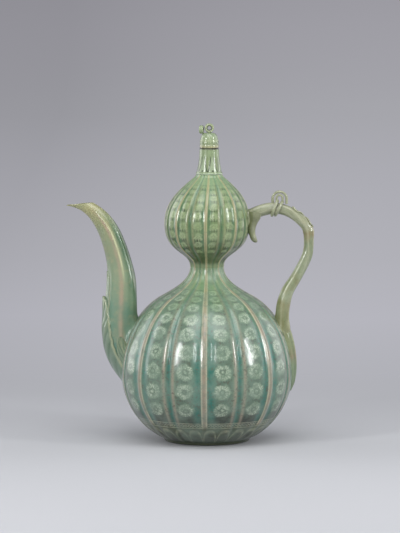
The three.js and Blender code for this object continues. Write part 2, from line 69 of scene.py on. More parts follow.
def addNode(tree, kind, *values, at=None, **named):
    # A node of that kind; a second word in the kind is its operation, its interpolation or its
    # data type. A name with a capital is an input and any other is a setting. An input, by its
    # order, its number or its name, is a number or a hex colour set on the socket, or a node
    # or socket that is linked to it.
    kind, *mode = kind.split()
    node = tree.nodes.new("ShaderNode" + kind)
    if mode:
        setattr(node, modeOf[kind], mode[0])
    inputs = {**dict(enumerate(values)), **(at or {})}
    for key, value in named.items():
        if key[0].isupper():
            inputs[key] = value
        else:
            setattr(node, key, value)
    for socket, value in inputs.items():
        if isinstance(value, bpy.types.Node):
            value = value.outputs[0]
        if isinstance(value, bpy.types.NodeSocket):
            tree.links.new(value, node.inputs[socket])
        else:
            node.inputs[socket].default_value = hexColour(value) if isinstance(value, str) else value
    return node


def paintOver(add, colour, layers):
    # Each layer is a colour laid over the ones before it, by the product of its amounts
    for *amounts, over in layers:
        amount = amounts[0]
        for factor in amounts[1:]:
            amount = add("Math MULTIPLY", amount, factor, use_clamp=True)
        colour = add("Mix RGBA", amount, at={6: colour, 7: over}).outputs[2]
    return colour


def fillRamp(ramp, tones):
    # A ramp has two stops at first; tones holds a place and a colour for each that it needs
    stops = ramp.color_ramp.elements
    for index, (spot, code) in enumerate(tones):
        stop = stops[index] if index < 2 else stops.new(spot)
        stop.position = spot
        stop.color = hexColour(code)


def mix(a, b, share):
    # From a to b: a plus the share times what lies between them
    return a + (b - a) * share


def smooth(value, low, high):
    # 0 below low, 1 above high, and 3s^2 - 2s^3 between them
    share = np.clip((value - low) / (high - low), 0, 1)
    return share * share * (3 - 2 * share)


def bell(value, width):
    # 1 in the middle, e to the power of minus (value / width) squared away from it
    return np.exp(-((value / width) ** 2))


def cubic(points, steps):
    # A cubic curve: four points weighed by (1-t)^3, 3t(1-t)^2, 3t^2(1-t) and t^3
    t = np.linspace(0, 1, steps + 1)[:, None]
    weights = np.hstack([(1 - t) ** 3, 3 * t * (1 - t) ** 2, 3 * t**2 * (1 - t), t**3])
    return weights @ np.array(points, float)


def curveBetween(start, end, leave, arrive):
    # The four points of a curve: its ends, and between them a point at two shares of the way
    # from the start, one for the radius and one for the height, and one at two shares back
    start, end = np.array(start), np.array(end)
    return [start, mix(start, end, np.array(leave)), mix(end, start, np.array(arrive)), end]


def outline(curves, steps):
    # Curves that follow each other, as one list of [radius, height] points
    parts = [cubic(curve, count)[1:] for curve, count in zip(curves, steps)]
    return np.vstack([[curves[0][0]], *parts])


def insetBy(profile, depth):
    # Each point moved inwards, square to the line between its two neighbours
    ahead = np.vstack([profile[1:], profile[-1:]]) - np.vstack([profile[:1], profile[:-1]])
    ahead /= np.linalg.norm(ahead, axis=1, keepdims=True)
    return profile + depth * np.column_stack([-ahead[:, 1], ahead[:, 0]])


def addObject(name, data):
    # An object of that data, put in the scene
    item = bpy.data.objects.new(name, data)
    bpy.context.scene.collection.objects.link(item)
    return item


def addMesh(name, points, faces, marks, material):
    # Points in metres; marks are numbers or threes of numbers for each point, kept as
    # attributes of the mesh for the shader
    mesh = bpy.data.meshes.new(name)
    mesh.from_pydata(points.tolist(), [], faces)
    for key, values in marks.items():
        kind, field = ("FLOAT", "value") if values.shape[1] == 1 else ("FLOAT_VECTOR", "vector")
        mesh.attributes.new(key, kind, "POINT").data.foreach_set(field, values.ravel())
    mesh.polygons.foreach_set("use_smooth", np.ones(len(mesh.polygons), bool))
    mesh.materials.append(material)
    return addObject(name, mesh)


def addPiece(name, rows, material, body, node, marks=None, joined=False):
    # A closed skin over a grid of points, rows by columns: the columns run round, and the
    # first and last rows are closed by a fan to their middle, or joined to each other.
    # marks holds values for each point of the grid. The skin rides on its body, and stands
    # in for the CAD node.
    height, width = rows.shape[:2]
    points = rows.reshape(-1, 3)
    spans = height if joined else height - 1
    row, column = np.meshgrid(np.arange(spans), np.arange(width), indexing="ij")
    here, there = row * width, (row + 1) % height * width
    after = (column + 1) % width
    quads = np.stack([here + column, here + after, there + after, there + column], axis=-1)
    quads = quads.reshape(-1, 4)
    fans = np.zeros((0, 3), int)
    if not joined:
        points = np.vstack([points, rows[0].mean(0), rows[-1].mean(0)])
        ring = np.arange(width)
        follow = (ring + 1) % width
        last = (height - 1) * width
        first = np.column_stack([np.full(width, height * width), follow, ring])
        final = np.column_stack([np.full(width, height * width + 1), last + ring, last + follow])
        fans = np.vstack([first, final])
    corners = np.vstack([quads[:, [0, 1, 2]], quads[:, [0, 2, 3]], fans])
    a, b, c = (points[corners[:, k]] for k in range(3))
    if np.einsum("ij,ij->i", a, np.cross(b, c)).sum() < 0:
        quads, fans = quads[:, ::-1], fans[:, ::-1]
    marks = {key: values.reshape(height * width, -1) for key, values in (marks or {}).items()}
    if not joined:
        marks = {key: np.vstack([flat, flat[:1], flat[-1:]]) for key, flat in marks.items()}
    faces = quads.tolist() + fans.tolist()
    piece = addMesh(name, points * mm + [axisX, 0, 0], faces, marks, material)
    piece.data.set_sharp_from_angle(angle=math.radians(sharpFrom))
    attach(piece, body)
    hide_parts(node)


# The camera stands at the photograph's angle, far off with a long lens
camera = {"azimuth": 4.3, "elevation": 6.0, "distance": 4.5, "lens": 283.0, "aimX": -7.5, "aimZ": 187.8}
aim = Vector((axisX + camera["aimX"] * mm, 0, camera["aimZ"] * mm))
turn, rise = math.radians(camera["azimuth"]), math.radians(camera["elevation"])
way = Vector((math.sin(turn) * math.cos(rise), -math.cos(turn) * math.cos(rise), math.sin(rise)))
lens = bpy.data.cameras.new("camera")
lens.lens = camera["lens"]
lens.clip_end = 60
viewer = addObject("camera", lens)
viewer.location = aim + way * camera["distance"]
viewer.rotation_euler = (-way).to_track_quat("-Z", "Y").to_euler()
bpy.context.scene.camera = viewer
print("camera placed")

# The double gourd: its outline, ribs and grooves. Heights come from the CAD pieces.
gourd = {
    "baseZ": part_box("lower_gourd")[0][2] / mm,
    "waistZ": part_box("lower_gourd")[1][2] / mm,
    "topZ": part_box("upper_gourd")[1][2] / mm,
    "bellyRise": 68.6, "shoulderDrop": 31.5, "upperRise": 47.0, "crownDrop": 7.9, "luteGap": 0.3,
    "footRadius": 46.0, "bellyRadius": 91.5, "shoulderRadius": 48.0, "waistRadius": 17.7,
    "upperRadius": 45.0, "crownRadius": 21.0, "neckFootRadius": 13.6, "mouthBore": 7.5,
    "wall": 4.5, "floorThickness": 6.0, "neckLean": 2.4,
    "ribCount": 8, "ribHeight": 1.2, "ribHalfWidth": 2.5, "ribTurn": 2.2, "ribDrift": 6.4,
    "hollowDepth": 0.75, "hollowHalfWidth": 3.4, "hollowAt": 6.6,
    "grooveDepth": 1.9, "grooveHalfWidth": 2.6, "panelBulge": 0.5,
    "poolMm": 2.7, "edgeAt": 4.9, "edgeMm": 1.5,  # the glaze pools in a groove and is thin beside it
    "around": 384, "gather": 0.55,  # grid lines round it, and how they crowd at ribs and grooves
}
baseZ, waistZ, neckZ = gourd["baseZ"], gourd["waistZ"], gourd["topZ"] - gourd["luteGap"]
bellyZ, shoulderZ = baseZ + gourd["bellyRise"], waistZ - gourd["shoulderDrop"]
upperZ, crownZ = waistZ + gourd["upperRise"], neckZ - gourd["crownDrop"]
foot, belly, shoulder, waist, upper, crown, neckFoot = (
    (gourd[name + "Radius"], z) for name, z in (
        ("foot", baseZ), ("belly", bellyZ), ("shoulder", shoulderZ), ("waist", waistZ),
        ("upper", upperZ), ("crown", crownZ), ("neckFoot", neckZ),
    )
)
lowerCurves = [
    curveBetween(foot, belly, (0.46, 0.1), (0, 0.48)),
    curveBetween(belly, shoulder, (0, 0.52), (0.48, 0.136)),
    curveBetween(shoulder, waist, (0.634, 0.336), (0, 0.4)),
]
upperCurves = [
    curveBetween(waist, upper, (0, 0.36), (0, 0.73)),
    curveBetween(upper, crown, (0, 0.49), (0.504, 0.247)),
    curveBetween(crown, neckFoot, (0.54, 0.456), (0.108, 0.38)),
]
fineWall = np.vstack([outline(lowerCurves, [80] * 3), outline(upperCurves, [80] * 3)[1:]])
wallSlope = np.gradient(fineWall[:, 0]) / np.gradient(fineWall[:, 1])
wallLean = 1 / np.sqrt(1 + wallSlope**2)  # the share of a level distance that is square to the wall


def radiusAt(z):
    # The wall's radius at a height, without its ribs, read off its finely cut outline
    return np.interp(z, fineWall[:, 1], fineWall[:, 0])


def leanAt(z):
    # How far the middle has moved towards the handle at a height
    return gourd["neckLean"] * smooth(z, upperZ, neckZ)


def drift(meant, z):
    # The ribs are drawn by hand: how far one stands from the angle that it was meant for
    low = 1 - smooth(z, shoulderZ, waistZ)
    return np.radians(gourd["ribTurn"] + gourd["ribDrift"] * np.cos(meant) * low)


def fromRib(angle):
    # Angle to the nearest rib, whichever side it is on
    step = tau / gourd["ribCount"]
    return np.abs((angle + step / 2) % step - step / 2)


def relief(angle, radius):
    # A raised rib, less the hollow beside it, less the groove, plus the panel's bulge: bells
    # of the distance along the wall, all softer where the gourd is narrow
    half = math.pi / gourd["ribCount"]
    fade = np.sqrt(np.minimum(1, radius / gourd["bellyRadius"]))
    away = fromRib(angle)
    rib = gourd["ribHeight"] * bell(away * radius, gourd["ribHalfWidth"] * fade)
    hollow = gourd["hollowDepth"] * bell(
        away * radius - gourd["hollowAt"] * fade, gourd["hollowHalfWidth"] * fade
    )
    groove = gourd["grooveDepth"] * bell((half - away) * radius, gourd["grooveHalfWidth"] * fade)
    bulge = gourd["panelBulge"] * np.sin(math.pi * away / half)
    return fade * (rib - hollow - groove + bulge)


def wallGap(points):
    # Distance outside the gourd's wall: the level distance to it, times the wall's lean
    x, y, z = np.moveaxis(points, -1, 0)
    x = x - leanAt(z)
    radius = radiusAt(z)
    lean = np.interp(z, fineWall[:, 1], wallLean)
    angle = np.arctan2(y, x)
    meant = angle - drift(angle - drift(angle, z), z)
    return (np.hypot(x, y) - radius - relief(meant, radius)) * lean, lean


def luteTo(points, centres, depth=1.5, flare=1.2, reach=4.0):
    # Clay smoothed on the wall: a point near the wall moves away from the limb's centre line
    # by the flare times (1 - gap / reach) squared, and none goes deeper than the depth
    gap, _ = wallGap(points)
    away = points - centres
    away /= np.maximum(np.linalg.norm(away, axis=-1, keepdims=True), 1e-6)
    push = flare * np.clip(1 - np.maximum(gap, 0) / reach, 0, 1) ** 2
    points = points + away * push[..., None]
    gap, lean = wallGap(points)
    level = np.maximum(-depth - gap, 0) / lean
    outward = points[..., :2] / np.maximum(np.hypot(points[..., 0], points[..., 1]), 1e-6)[..., None]
    return np.concatenate([points[..., :2] + outward * level[..., None], points[..., 2:]], axis=-1)


# Grid lines round the gourd, closer together at each rib and groove
line = np.arange(gourd["around"]) / gourd["around"] * 2 * gourd["ribCount"]
share = line % 1
ringAngle = (np.floor(line) + share - gourd["gather"] * np.sin(tau * share) / tau) * (
    math.pi / gourd["ribCount"]
)
ringPanel = np.floor(line + 1e-6)


def ringsOf(profile, lobed=1.0):
    # Each [radius, height] turned about the axis, with the relief added to the radius
    radius, z = profile[:, :1], profile[:, 1:]
    swollen = radius + lobed * relief(ringAngle[None, :], np.maximum(radius, 1e-3))
    angle = ringAngle + drift(ringAngle, z)
    flat = [swollen * np.cos(angle) + leanAt(z), swollen * np.sin(angle), z + 0 * swollen]
    return np.stack(flat, axis=-1)


def glazeMarks(rings, look):
    # What the shader follows. inlay: mm across from the line of medallions, the row number,
    # and the row's height in mm. glaze: the panel, how deep the glaze pools, and the mm from
    # the rib. bare: how thin the glaze is along the edges.
    z = rings[..., 2]
    radius = radiusAt(z)
    fade = np.sqrt(np.minimum(1, radius / gourd["bellyRadius"]))
    half = math.pi / gourd["ribCount"]
    away = fromRib(ringAngle) + 0 * z
    ribMm, grooveMm = away * radius / fade, (half - away) * radius / fade
    across = (away - look["lineShare"] * half) * radius
    heights = np.linspace(look["rowsFrom"], look["rowsTo"], 400)
    lean = np.interp(heights, fineWall[:, 1], wallLean)
    cell = look["cellShare"] * radiusAt(heights) + look["cellLeast"]
    count = np.concatenate([[0], np.cumsum(np.diff(heights) / (lean * cell)[1:])])
    rowNumber = np.interp(z, heights, count / count[-1] * round(count[-1]))
    rowNumber = np.where(z < heights[0], -1, np.where(z > heights[-1], -1, rowNumber))
    cellMm = np.interp(z, heights, cell * count[-1] / round(count[-1]))
    strong = smooth(z, *look["poolIn"]) * (1 - smooth(z, *look["poolOut"]))
    beside = bell(ribMm - look["besideMm"], look["besideWidth"]) * mix(0.25, 1, strong)
    pool = np.clip(beside + bell(grooveMm, gourd["poolMm"]) * mix(0.6, 1, strong), 0, 1)
    bare = bell(grooveMm - gourd["edgeAt"], gourd["edgeMm"]) * mix(0.35, 1, strong)
    panel = np.broadcast_to(ringPanel, z.shape)
    return {
        "inlay": np.stack([across, rowNumber, cellMm], axis=-1),
        "glaze": np.stack([panel, pool, ribMm], axis=-1),
        "bare": bare,
    }


# Glazes
def newMaterial(name, settings):
    # A material whose shader has these settings, and what adds a node to it
    material = bpy.data.materials.new(name)
    material.use_nodes = True
    for key, value in settings.items():
        material.node_tree.nodes["Principled BSDF"].inputs[key].default_value = value
    return material, partial(addNode, material.node_tree)


def linkShader(material, sources):
    # Each socket of the material's shader takes a node or a socket
    links, shader = material.node_tree.links, material.node_tree.nodes["Principled BSDF"]
    for socket, source in sources.items():
        if isinstance(source, bpy.types.Node):
            source = source.outputs[0]
        links.new(source, shader.inputs[socket])
    return material


def newGlaze(name, look):
    # Fired celadon glaze over stoneware: a clear glassy coat with soft-edged bright
    # reflections, over a body whose grey green deepens where the glaze lies thick
    material, add = newMaterial(name, {
        "Roughness": look.get("roughness", 0.32), "IOR": 1.5,
        "Coat Weight": look.get("coat", 0.9), "Coat Roughness": 0.15, "Coat IOR": 1.5,
    })
    return material, add, add("TexCoord").outputs["Object"]


def finishGlaze(material, add, place, colour, look, raised=0.5):
    # Cloudy milky patches of some 18 mm, stains of 6 mm, iron specks, a net of hair cracks
    # 4 mm apart, a ripple of 11 mm and a grain of 1.4 mm: each Scale is 1000 over the size in
    # mm. The specks are drawn 1 mm wide, coarser than real ones, so that they show. raised is
    # how far the inlay stands up.
    cloud = add("TexNoise", place, Scale=55.0, Detail=3.0, Roughness=0.55)
    patch = add("TexNoise", place, Scale=160.0, Detail=2.0, Roughness=0.6)
    speck = add("TexNoise", place, Scale=900.0, Detail=1.0)
    crack = add("TexVoronoi", place, Scale=240.0, feature="DISTANCE_TO_EDGE")
    colour = paintOver(add, colour, (
        (add("MapRange", cloud, 0.38, 0.66, 0.0, look["cloudiness"]), look["cloud"]),
        (add("MapRange", patch, 0.5, 0.72, 0.0, look["patchiness"]), look["patch"]),
        (add("MapRange", speck, 0.66, 0.74, 0.0, look["specks"]), "#4E4630"),
        (add("MapRange", crack, 0.0, 0.035, look["cracks"], 0.0), "#4E5C42"),
    ))
    ripple = add("TexNoise", place, Scale=90.0, Detail=1.0)
    grain = add("TexNoise", place, Scale=700.0, Detail=1.0)
    uneven = add("Math MULTIPLY_ADD", grain, 0.006, ripple)
    skin = add("Math MULTIPLY_ADD", raised, 0.15, uneven)
    bump = add("Bump", Strength=0.6, Distance=look["ripple"] * mm, Height=skin)
    return linkShader(material, {"Base Color": colour, "Normal": bump, "Coat Normal": bump})


def inlaidGlaze(name, look):
    # Celadon over slip inlay: chrysanthemum medallions of white slip with a dark ring, small
    # dark marks between them, a pinkish rib where the glaze is thin, teal where it pools
    material, add, place = newGlaze(name, look)
    height = add("SeparateXYZ", place).outputs["Z"]
    zMm = add("Math MULTIPLY", height, 1 / mm)
    (across, rows, cell), (panel, pool, ribMm) = (
        add("SeparateXYZ", add("Attribute", attribute_name=key).outputs["Vector"]).outputs
        for key in ("inlay", "glaze")
    )
    bare = add("Attribute", attribute_name="bare").outputs["Fac"]

    # the slip is worn: a noise of 2 mm breaks it up, and one of 14 mm weakens whole stamps
    fine = add("TexNoise", place, Scale=520.0, Detail=2.0)
    coarse = add("TexNoise", place, Scale=70.0, Detail=2.0)
    wear = add("MapRange", fine, 0.42, 0.56, 0.08, 1.0)
    strength = add("MapRange", coarse, 0.38, 0.6, 0.4, 1.0)

    # each stamp has its own small shift and turn
    rowIndex = add("Math FLOOR", rows)
    stamp = add("CombineXYZ", rowIndex, panel, 0.0)
    chance = add("TexWhiteNoise", stamp, noise_dimensions="3D")
    chanceParts = add("SeparateXYZ", chance.outputs["Color"]).outputs
    inRow = add("Math SUBTRACT", add("Math FRACT", rows), 0.5)
    up = add("Math MULTIPLY", inRow, cell)
    upShifted = add("Math MULTIPLY_ADD", chanceParts[0], look["shift"], up)
    acrossShifted = add("Math MULTIPLY_ADD", chanceParts[1], look["shift"], across)
    spot = add("CombineXYZ", acrossShifted, upShifted, 0.0)
    far = add("VectorMath LENGTH", spot).outputs["Value"]
    size = add("Math MULTIPLY", cell, look["medallionShare"])
    trueOut = add("Math DIVIDE", far, size)  # 1 at the medallion's edge
    ragged = look["ragged"]
    frayed = add("TexNoise", place, Scale=260.0)  # 4 mm, so a stamp's edge is ragged
    out = add("Math MULTIPLY_ADD", frayed, ragged, add("Math SUBTRACT", trueOut, ragged / 2))
    turned = add("Math ARCTAN2", upShifted, acrossShifted)
    spin = add("Math MULTIPLY", chanceParts[2], tau)
    wave = add("Math COSINE", add("Math MULTIPLY_ADD", turned, float(look["petals"]), spin))

    petal = add("MapRange SMOOTHSTEP", wave, -0.9, 0.5, 0.42, 1.0)
    inside = add("MapRange SMOOTHSTEP", out, 0.78, 1.06, 1.0, 0.0)
    beyondEye = add("MapRange SMOOTHSTEP", out, 0.34, 0.5, 0.0, 1.0)
    petals = add("Math MULTIPLY", add("Math MULTIPLY", petal, inside), beyondEye)
    eye = add("MapRange SMOOTHSTEP", out, 0.08, 0.2, 0.8, 0.0)
    white = add("Math MAXIMUM", petals, eye)
    ringIn = add("MapRange SMOOTHSTEP", out, 0.12, 0.24, 0.0, 1.0)
    ringOut = add("MapRange SMOOTHSTEP", out, 0.3, 0.44, 1.0, 0.0)
    ring = add("Math MULTIPLY", ringIn, ringOut)

    # dark marks where two rows meet: short strokes side by side
    rowEdge = add("Math SUBTRACT", add("Math ABSOLUTE", inRow), 0.5)
    rowEdgeMm = add("Math ABSOLUTE", add("Math MULTIPLY", rowEdge, cell))
    nearEdge = add("MapRange SMOOTHSTEP", rowEdgeMm, look["markTall"] * 0.4, look["markTall"], 1.0, 0.0)
    strokes = add("Math COSINE", add("Math MULTIPLY", across, look["strokes"]))
    strokeShare = add("MapRange", strokes, -0.2, 0.8, 0.25, 1.0)
    acrossSize = add("Math ABSOLUTE", across)
    nearLine = add("MapRange", acrossSize, look["markMm"] * 0.7, look["markMm"], 1.0, 0.0)
    marks = add("Math MULTIPLY", add("Math MULTIPLY", nearEdge, strokeShare), nearLine)
    fainter = add("MapRange", zMm, look["faintFrom"], look["highTo"], 1.0, 0.3)
    shown = add("Math MULTIPLY", add("MapRange", rows, -0.05, 0.0, 0.0, 1.0), fainter)
    black = add("Math MAXIMUM", add("Math MULTIPLY", ring, look["ringAmount"]), marks)

    # the ground round the medallions is darker, and brown specks gather beside the grooves
    outside = add("MapRange", out, 0.92, 1.12, 0.0, 1.0)
    inLine = add("MapRange", acrossSize, look["markMm"] * 2.2, look["markMm"] * 3.2, 1.0, 0.0)
    between = add("Math MULTIPLY", outside, inLine)
    rust = add("TexNoise", place, Scale=330.0, Detail=1.0)  # groups of specks, 3 mm
    rustShare = add("MapRange", rust, 0.56, 0.66, 0.0, look["rustAmount"])
    beside = add("MapRange", add("Math MAXIMUM", bare, outside), 0.1, 0.8, 0.0, 1.0)
    haze = add("MapRange SMOOTHSTEP", out, 0.6, 1.15, look["hazeAmount"], 0.0)

    highShare = add("MapRange SMOOTHSTEP", zMm, look["highFrom"], look["highTo"], 0.0, 1.0)
    # painted shade: the glaze darkens over a band of heights where each bulb turns under, above the foot's
    # band on the lower gourd and just above the waist on the upper one
    undersideShadeIn = add("MapRange SMOOTHSTEP", zMm, *look["undersideShadeZ"][:2], 0.0, 1.0)
    undersideShadeOut = add("MapRange SMOOTHSTEP", zMm, *look["undersideShadeZ"][2:], 1.0, 0.0)
    undersideShade = add("Math MULTIPLY", undersideShadeIn, undersideShadeOut)
    uneven = add("MapRange", coarse, 0.35, 0.65, 0.8, 1.0)
    poolShare = add("MapRange", coarse, 0.3, 0.7, 0.8, 1.15)
    poolTone = paintOver(add, look["pooled"], [(highShare, look["pooledHigh"])])
    ribTone = paintOver(add, look["rib"], [(highShare, look["ribHigh"])])
    ribEdge = look["ribMm"]
    ribBand = add("MapRange SMOOTHSTEP", ribMm, ribEdge * 0.8, ribEdge * 1.15, look["ribAmount"], 0.0)
    # painted highlight: pale cream lines along both edges of each rib
    ribLine = add("Math ABSOLUTE", add("Math SUBTRACT", ribMm, ribEdge * 0.78))
    ribEdgeHighlightBand = add("MapRange", ribLine, 0.25, 0.9, look["ribEdgeHighlightAmount"], 0.0)
    # painted reflection: a darker line down the middle of each rib
    ribMiddleReflection = add("MapRange", ribMm, 0.25, 0.8, look["ribMiddleReflectionAmount"], 0.0)

    colour = paintOver(add, look["field"], (
        (highShare, look["high"]),
        (between, look["betweenAmount"], shown, look["between"]),
        (undersideShade, uneven, look["undersideShade"]),
        (pool, poolShare, poolTone),
        (bare, look["bareAmount"], ribTone),
        (haze, strength, shown, look["haze"]),
        (white, look["whiteAmount"], wear, strength, shown, look["inlay"]),
        (black, look["blackAmount"], strength, shown, look["black"]),
        (rustShare, beside, shown, "#50473A"),
        (ribBand, ribTone),
        (ribEdgeHighlightBand, look["ribEdgeHighlight"]),
        (ribMiddleReflection, look["ribMiddleReflection"]),
    ))
    if look.get("band"):
        colour = baseBand(add, place, zMm, colour, look["band"])
    return finishGlaze(material, add, place, colour, look, raised=white)


def baseBand(add, place, zMm, colour, band):
    # Round the foot: two pale lines with a chain of small rings between them, and below them
    # a row of upright petals, each a pale arch round a dark fill
    ground = add("MapRange SMOOTHSTEP", zMm, band["topZ"] - 2, band["topZ"] + 3, 0.92, 0.0)
    mottle = add("TexNoise", place, Scale=130.0, Detail=3.0)  # patches of 8 mm
    worn = add("MapRange", mottle, 0.38, 0.6, 0.35, 1.0)
    paler = add("MapRange", mottle, 0.52, 0.7, 0.0, 0.5)
    groundTone = paintOver(add, band["ground"], [(paler, band["pale"])])
    flat = add("SeparateXYZ", place).outputs
    centred = add("Math SUBTRACT", flat["X"], axisX)
    turned = add("Math ARCTAN2", flat["Y"], centred)

    aroundPetals = add("Math MULTIPLY_ADD", turned, band["petals"] / tau, band["petals"] + 0.5)
    inPetal = add("Math SUBTRACT", add("Math FRACT", aroundPetals), 0.5)
    side = add("Math MULTIPLY", inPetal, 2.0)  # -1 to 1 across a petal
    rise = add("MapRange", zMm, band["petalFromZ"], band["petalToZ"], 0.0, 1.0)
    arch = add("Math POWER", add("Math ABSOLUTE", side), 3.2)
    climb = add("Math POWER", rise, 2.2)
    depth = add("Math ADD", arch, climb)
    outer = add("Math ABSOLUTE", add("Math SUBTRACT", depth, 0.72))
    outerLine = add("MapRange", outer, 0.08, 0.26, 0.7, 0.0)
    inner = add("MapRange", depth, 0.3, 0.5, 0.75, 0.0)
    below = add("MapRange", zMm, band["petalToZ"] - 0.2, band["petalToZ"] + 0.4, 1.0, 0.0)
    layers = [(ground, groundTone), (inner, below, band["ink"]), (outerLine, below, worn, band["line"])]
    for lineZ in band["lines"]:
        off = add("Math ABSOLUTE", add("Math SUBTRACT", zMm, lineZ))
        layers.append((add("MapRange", off, 0.3, 0.75, 0.75, 0.0), worn, band["line"]))
    aroundRings = add("Math MULTIPLY", turned, band["rings"] / tau)
    inRing = add("Math SUBTRACT", add("Math FRACT", aroundRings), 0.5)
    ringX = add("Math MULTIPLY", inRing, band["ringMm"])
    ringY = add("Math SUBTRACT", zMm, band["ringZ"])
    far = add("VectorMath LENGTH", add("CombineXYZ", ringX, ringY, 0.0))
    off = add("Math ABSOLUTE", add("Math SUBTRACT", far.outputs["Value"], 1.05))
    layers.append((add("MapRange", off, 0.25, 0.6, 0.7, 0.0), worn, band["line"]))
    return paintOver(add, colour, layers)


def plainGlaze(name, look):
    # Celadon over a modelled piece: its colour runs along the piece from one tone to the
    # next, dark where the glaze has pooled in a hollow, pale where it is thin on a ridge, and
    # pinkish where the clay shows through. The same dark and pale colours also carry painted
    # shade on the spout's far facet and inside the stopper's loops, and a painted highlight
    # along the spout's edge.
    material, add, place = newGlaze(name, look)
    course = add("SeparateXYZ", add("Attribute", attribute_name="course").outputs["Vector"])
    along, hollow, ridge = course.outputs
    bare = add("Attribute", attribute_name="bare").outputs["Fac"]
    wander = add("TexNoise", place, Scale=60.0, Detail=3.0)  # drifts of 17 mm
    sway = look.get("wander", 0.07)
    wandered = add("Math ADD", add("MapRange", wander, 0.3, 0.7, -sway, sway), along)
    ramp = add("ValToRGB", wandered)
    fillRamp(ramp, look["tones"])
    broken = add("MapRange", wander, 0.36, 0.6, 0.45, 1.0)
    bareTone = look.get("bare", "#A8937A")
    layers = ((hollow, look["pooled"]), (bare, broken, bareTone), (ridge, look["ridge"]))
    return finishGlaze(material, add, place, paintOver(add, ramp, layers), look)


def bareClay(name, look):
    # Unglazed stoneware, fired reddish grey: matt, gritty, with darker grains of sand
    material, add, place = newGlaze(name, {"roughness": 0.85, "coat": 0.0})
    tone = add("TexNoise", place, Scale=120.0, Detail=4.0)  # burnt patches of 8 mm
    grit = add("TexNoise", place, Scale=1400.0, Detail=2.0)  # grains of 0.7 mm
    colour = paintOver(add, look["clay"], (
        (add("MapRange", tone, 0.35, 0.65, 0.0, 1.0), look["burnt"]),
        (add("MapRange", grit, 0.6, 0.7, 0.0, 0.6), look["grit"]),
    ))
    bump = add("Bump", Strength=0.6, Distance=0.15 * mm, Height=grit)
    return linkShader(material, {"Base Color": colour, "Normal": bump})


commonLook = {"cloudiness": 0.35, "patchiness": 0.25, "specks": 0.45, "cracks": 0.25, "ripple": 0.45}
lowerLook = {
    **commonLook, "cloudiness": 0.5, "patchiness": 0.4,
    "field": "#657F67", "high": "#7D9969", "pooled": "#12695A", "pooledHigh": "#4C7A58",
    "rib": "#9C8E79", "ribHigh": "#A9A274", "ribEdgeHighlight": "#BFBCA0", "ribMiddleReflection": "#7D735C", "inlay": "#CAD4BC",
    "black": "#333F33", "cloud": "#7E9482", "patch": "#57705E", "between": "#4D6152", "haze": "#94A890",
    "undersideShade": "#171D0F", "undersideShadeZ": (20, 24, 33, 49),
    "lineShare": 0.53, "rowsFrom": 35.0, "rowsTo": 166.5, "cellShare": 0.2, "cellLeast": 4.0,
    "medallionShare": 0.415, "petals": 18, "ragged": 0.85, "shift": 1.7,
    "markMm": 3.2, "markTall": 1.6, "strokes": 2.4,
    "whiteAmount": 0.72, "hazeAmount": 0.46, "ringAmount": 0.7, "blackAmount": 0.7, "betweenAmount": 0.6,
    "rustAmount": 0.6, "bareAmount": 0.97, "ribAmount": 0.92, "ribMm": 3.0, "ribEdgeHighlightAmount": 0.65,
    "ribMiddleReflectionAmount": 0.4, "besideMm": 6.8, "besideWidth": 4.1, "poolIn": (22, 40), "poolOut": (97, 152),
    "highFrom": 122.0, "highTo": 178.0, "faintFrom": 146.0,
    "band": {"ground": "#3D4527", "pale": "#5C6740", "ink": "#2C3116", "line": "#A6A88A", "topZ": 23.5,
             "petals": 26, "petalFromZ": 2.0, "petalToZ": 21.2, "lines": (22.5, 27.8), "ringZ": 25.2,
             "rings": 124, "ringMm": 3.1},
}
upperLook = {
    **commonLook,
    "field": "#75895D", "high": "#87A077", "pooled": "#35633E", "pooledHigh": "#4F7F5C",
    "rib": "#A39670", "ribHigh": "#A19C70", "ribEdgeHighlight": "#B8B68C", "ribMiddleReflection": "#8C8260", "inlay": "#B6C396",
    "black": "#1E2A12", "cloud": "#8CA070", "patch": "#627A48", "between": "#55703F", "haze": "#9FB081",
    "undersideShade": "#2B350F", "undersideShadeZ": (190, 195, 206, 226),
    "lineShare": 0.53, "rowsFrom": 205.0, "rowsTo": 278.0, "cellShare": 0.2, "cellLeast": 1.5,
    "medallionShare": 0.46, "petals": 9, "ragged": 1.1, "shift": 2.2,
    "markMm": 3.8, "markTall": 2.5, "strokes": 2.1,
    "whiteAmount": 0.4, "hazeAmount": 0.6, "ringAmount": 0.3, "blackAmount": 1.0, "betweenAmount": 0.45,
    "rustAmount": 0.4, "bareAmount": 0.45, "ribAmount": 0.85, "ribMm": 2.3, "ribEdgeHighlightAmount": 0.4,
    "ribMiddleReflectionAmount": 0.2, "besideMm": 5.4, "besideWidth": 2.6, "poolIn": (198, 216), "poolOut": (264, 282),
    "highFrom": 257.0, "highTo": 284.0, "faintFrom": 257.0,
}
lowerGlaze = inlaidGlaze("inlaid_celadon_lower", lowerLook)
upperGlaze = inlaidGlaze("inlaid_celadon_upper", upperLook)
clay = bareClay("bare_stoneware", {"clay": "#8F7A66", "burnt": "#6E5C4C", "grit": "#4A4038"})
print("glazes mixed")

# Both gourds
seamZ = waistZ + gourd["luteGap"] / 2


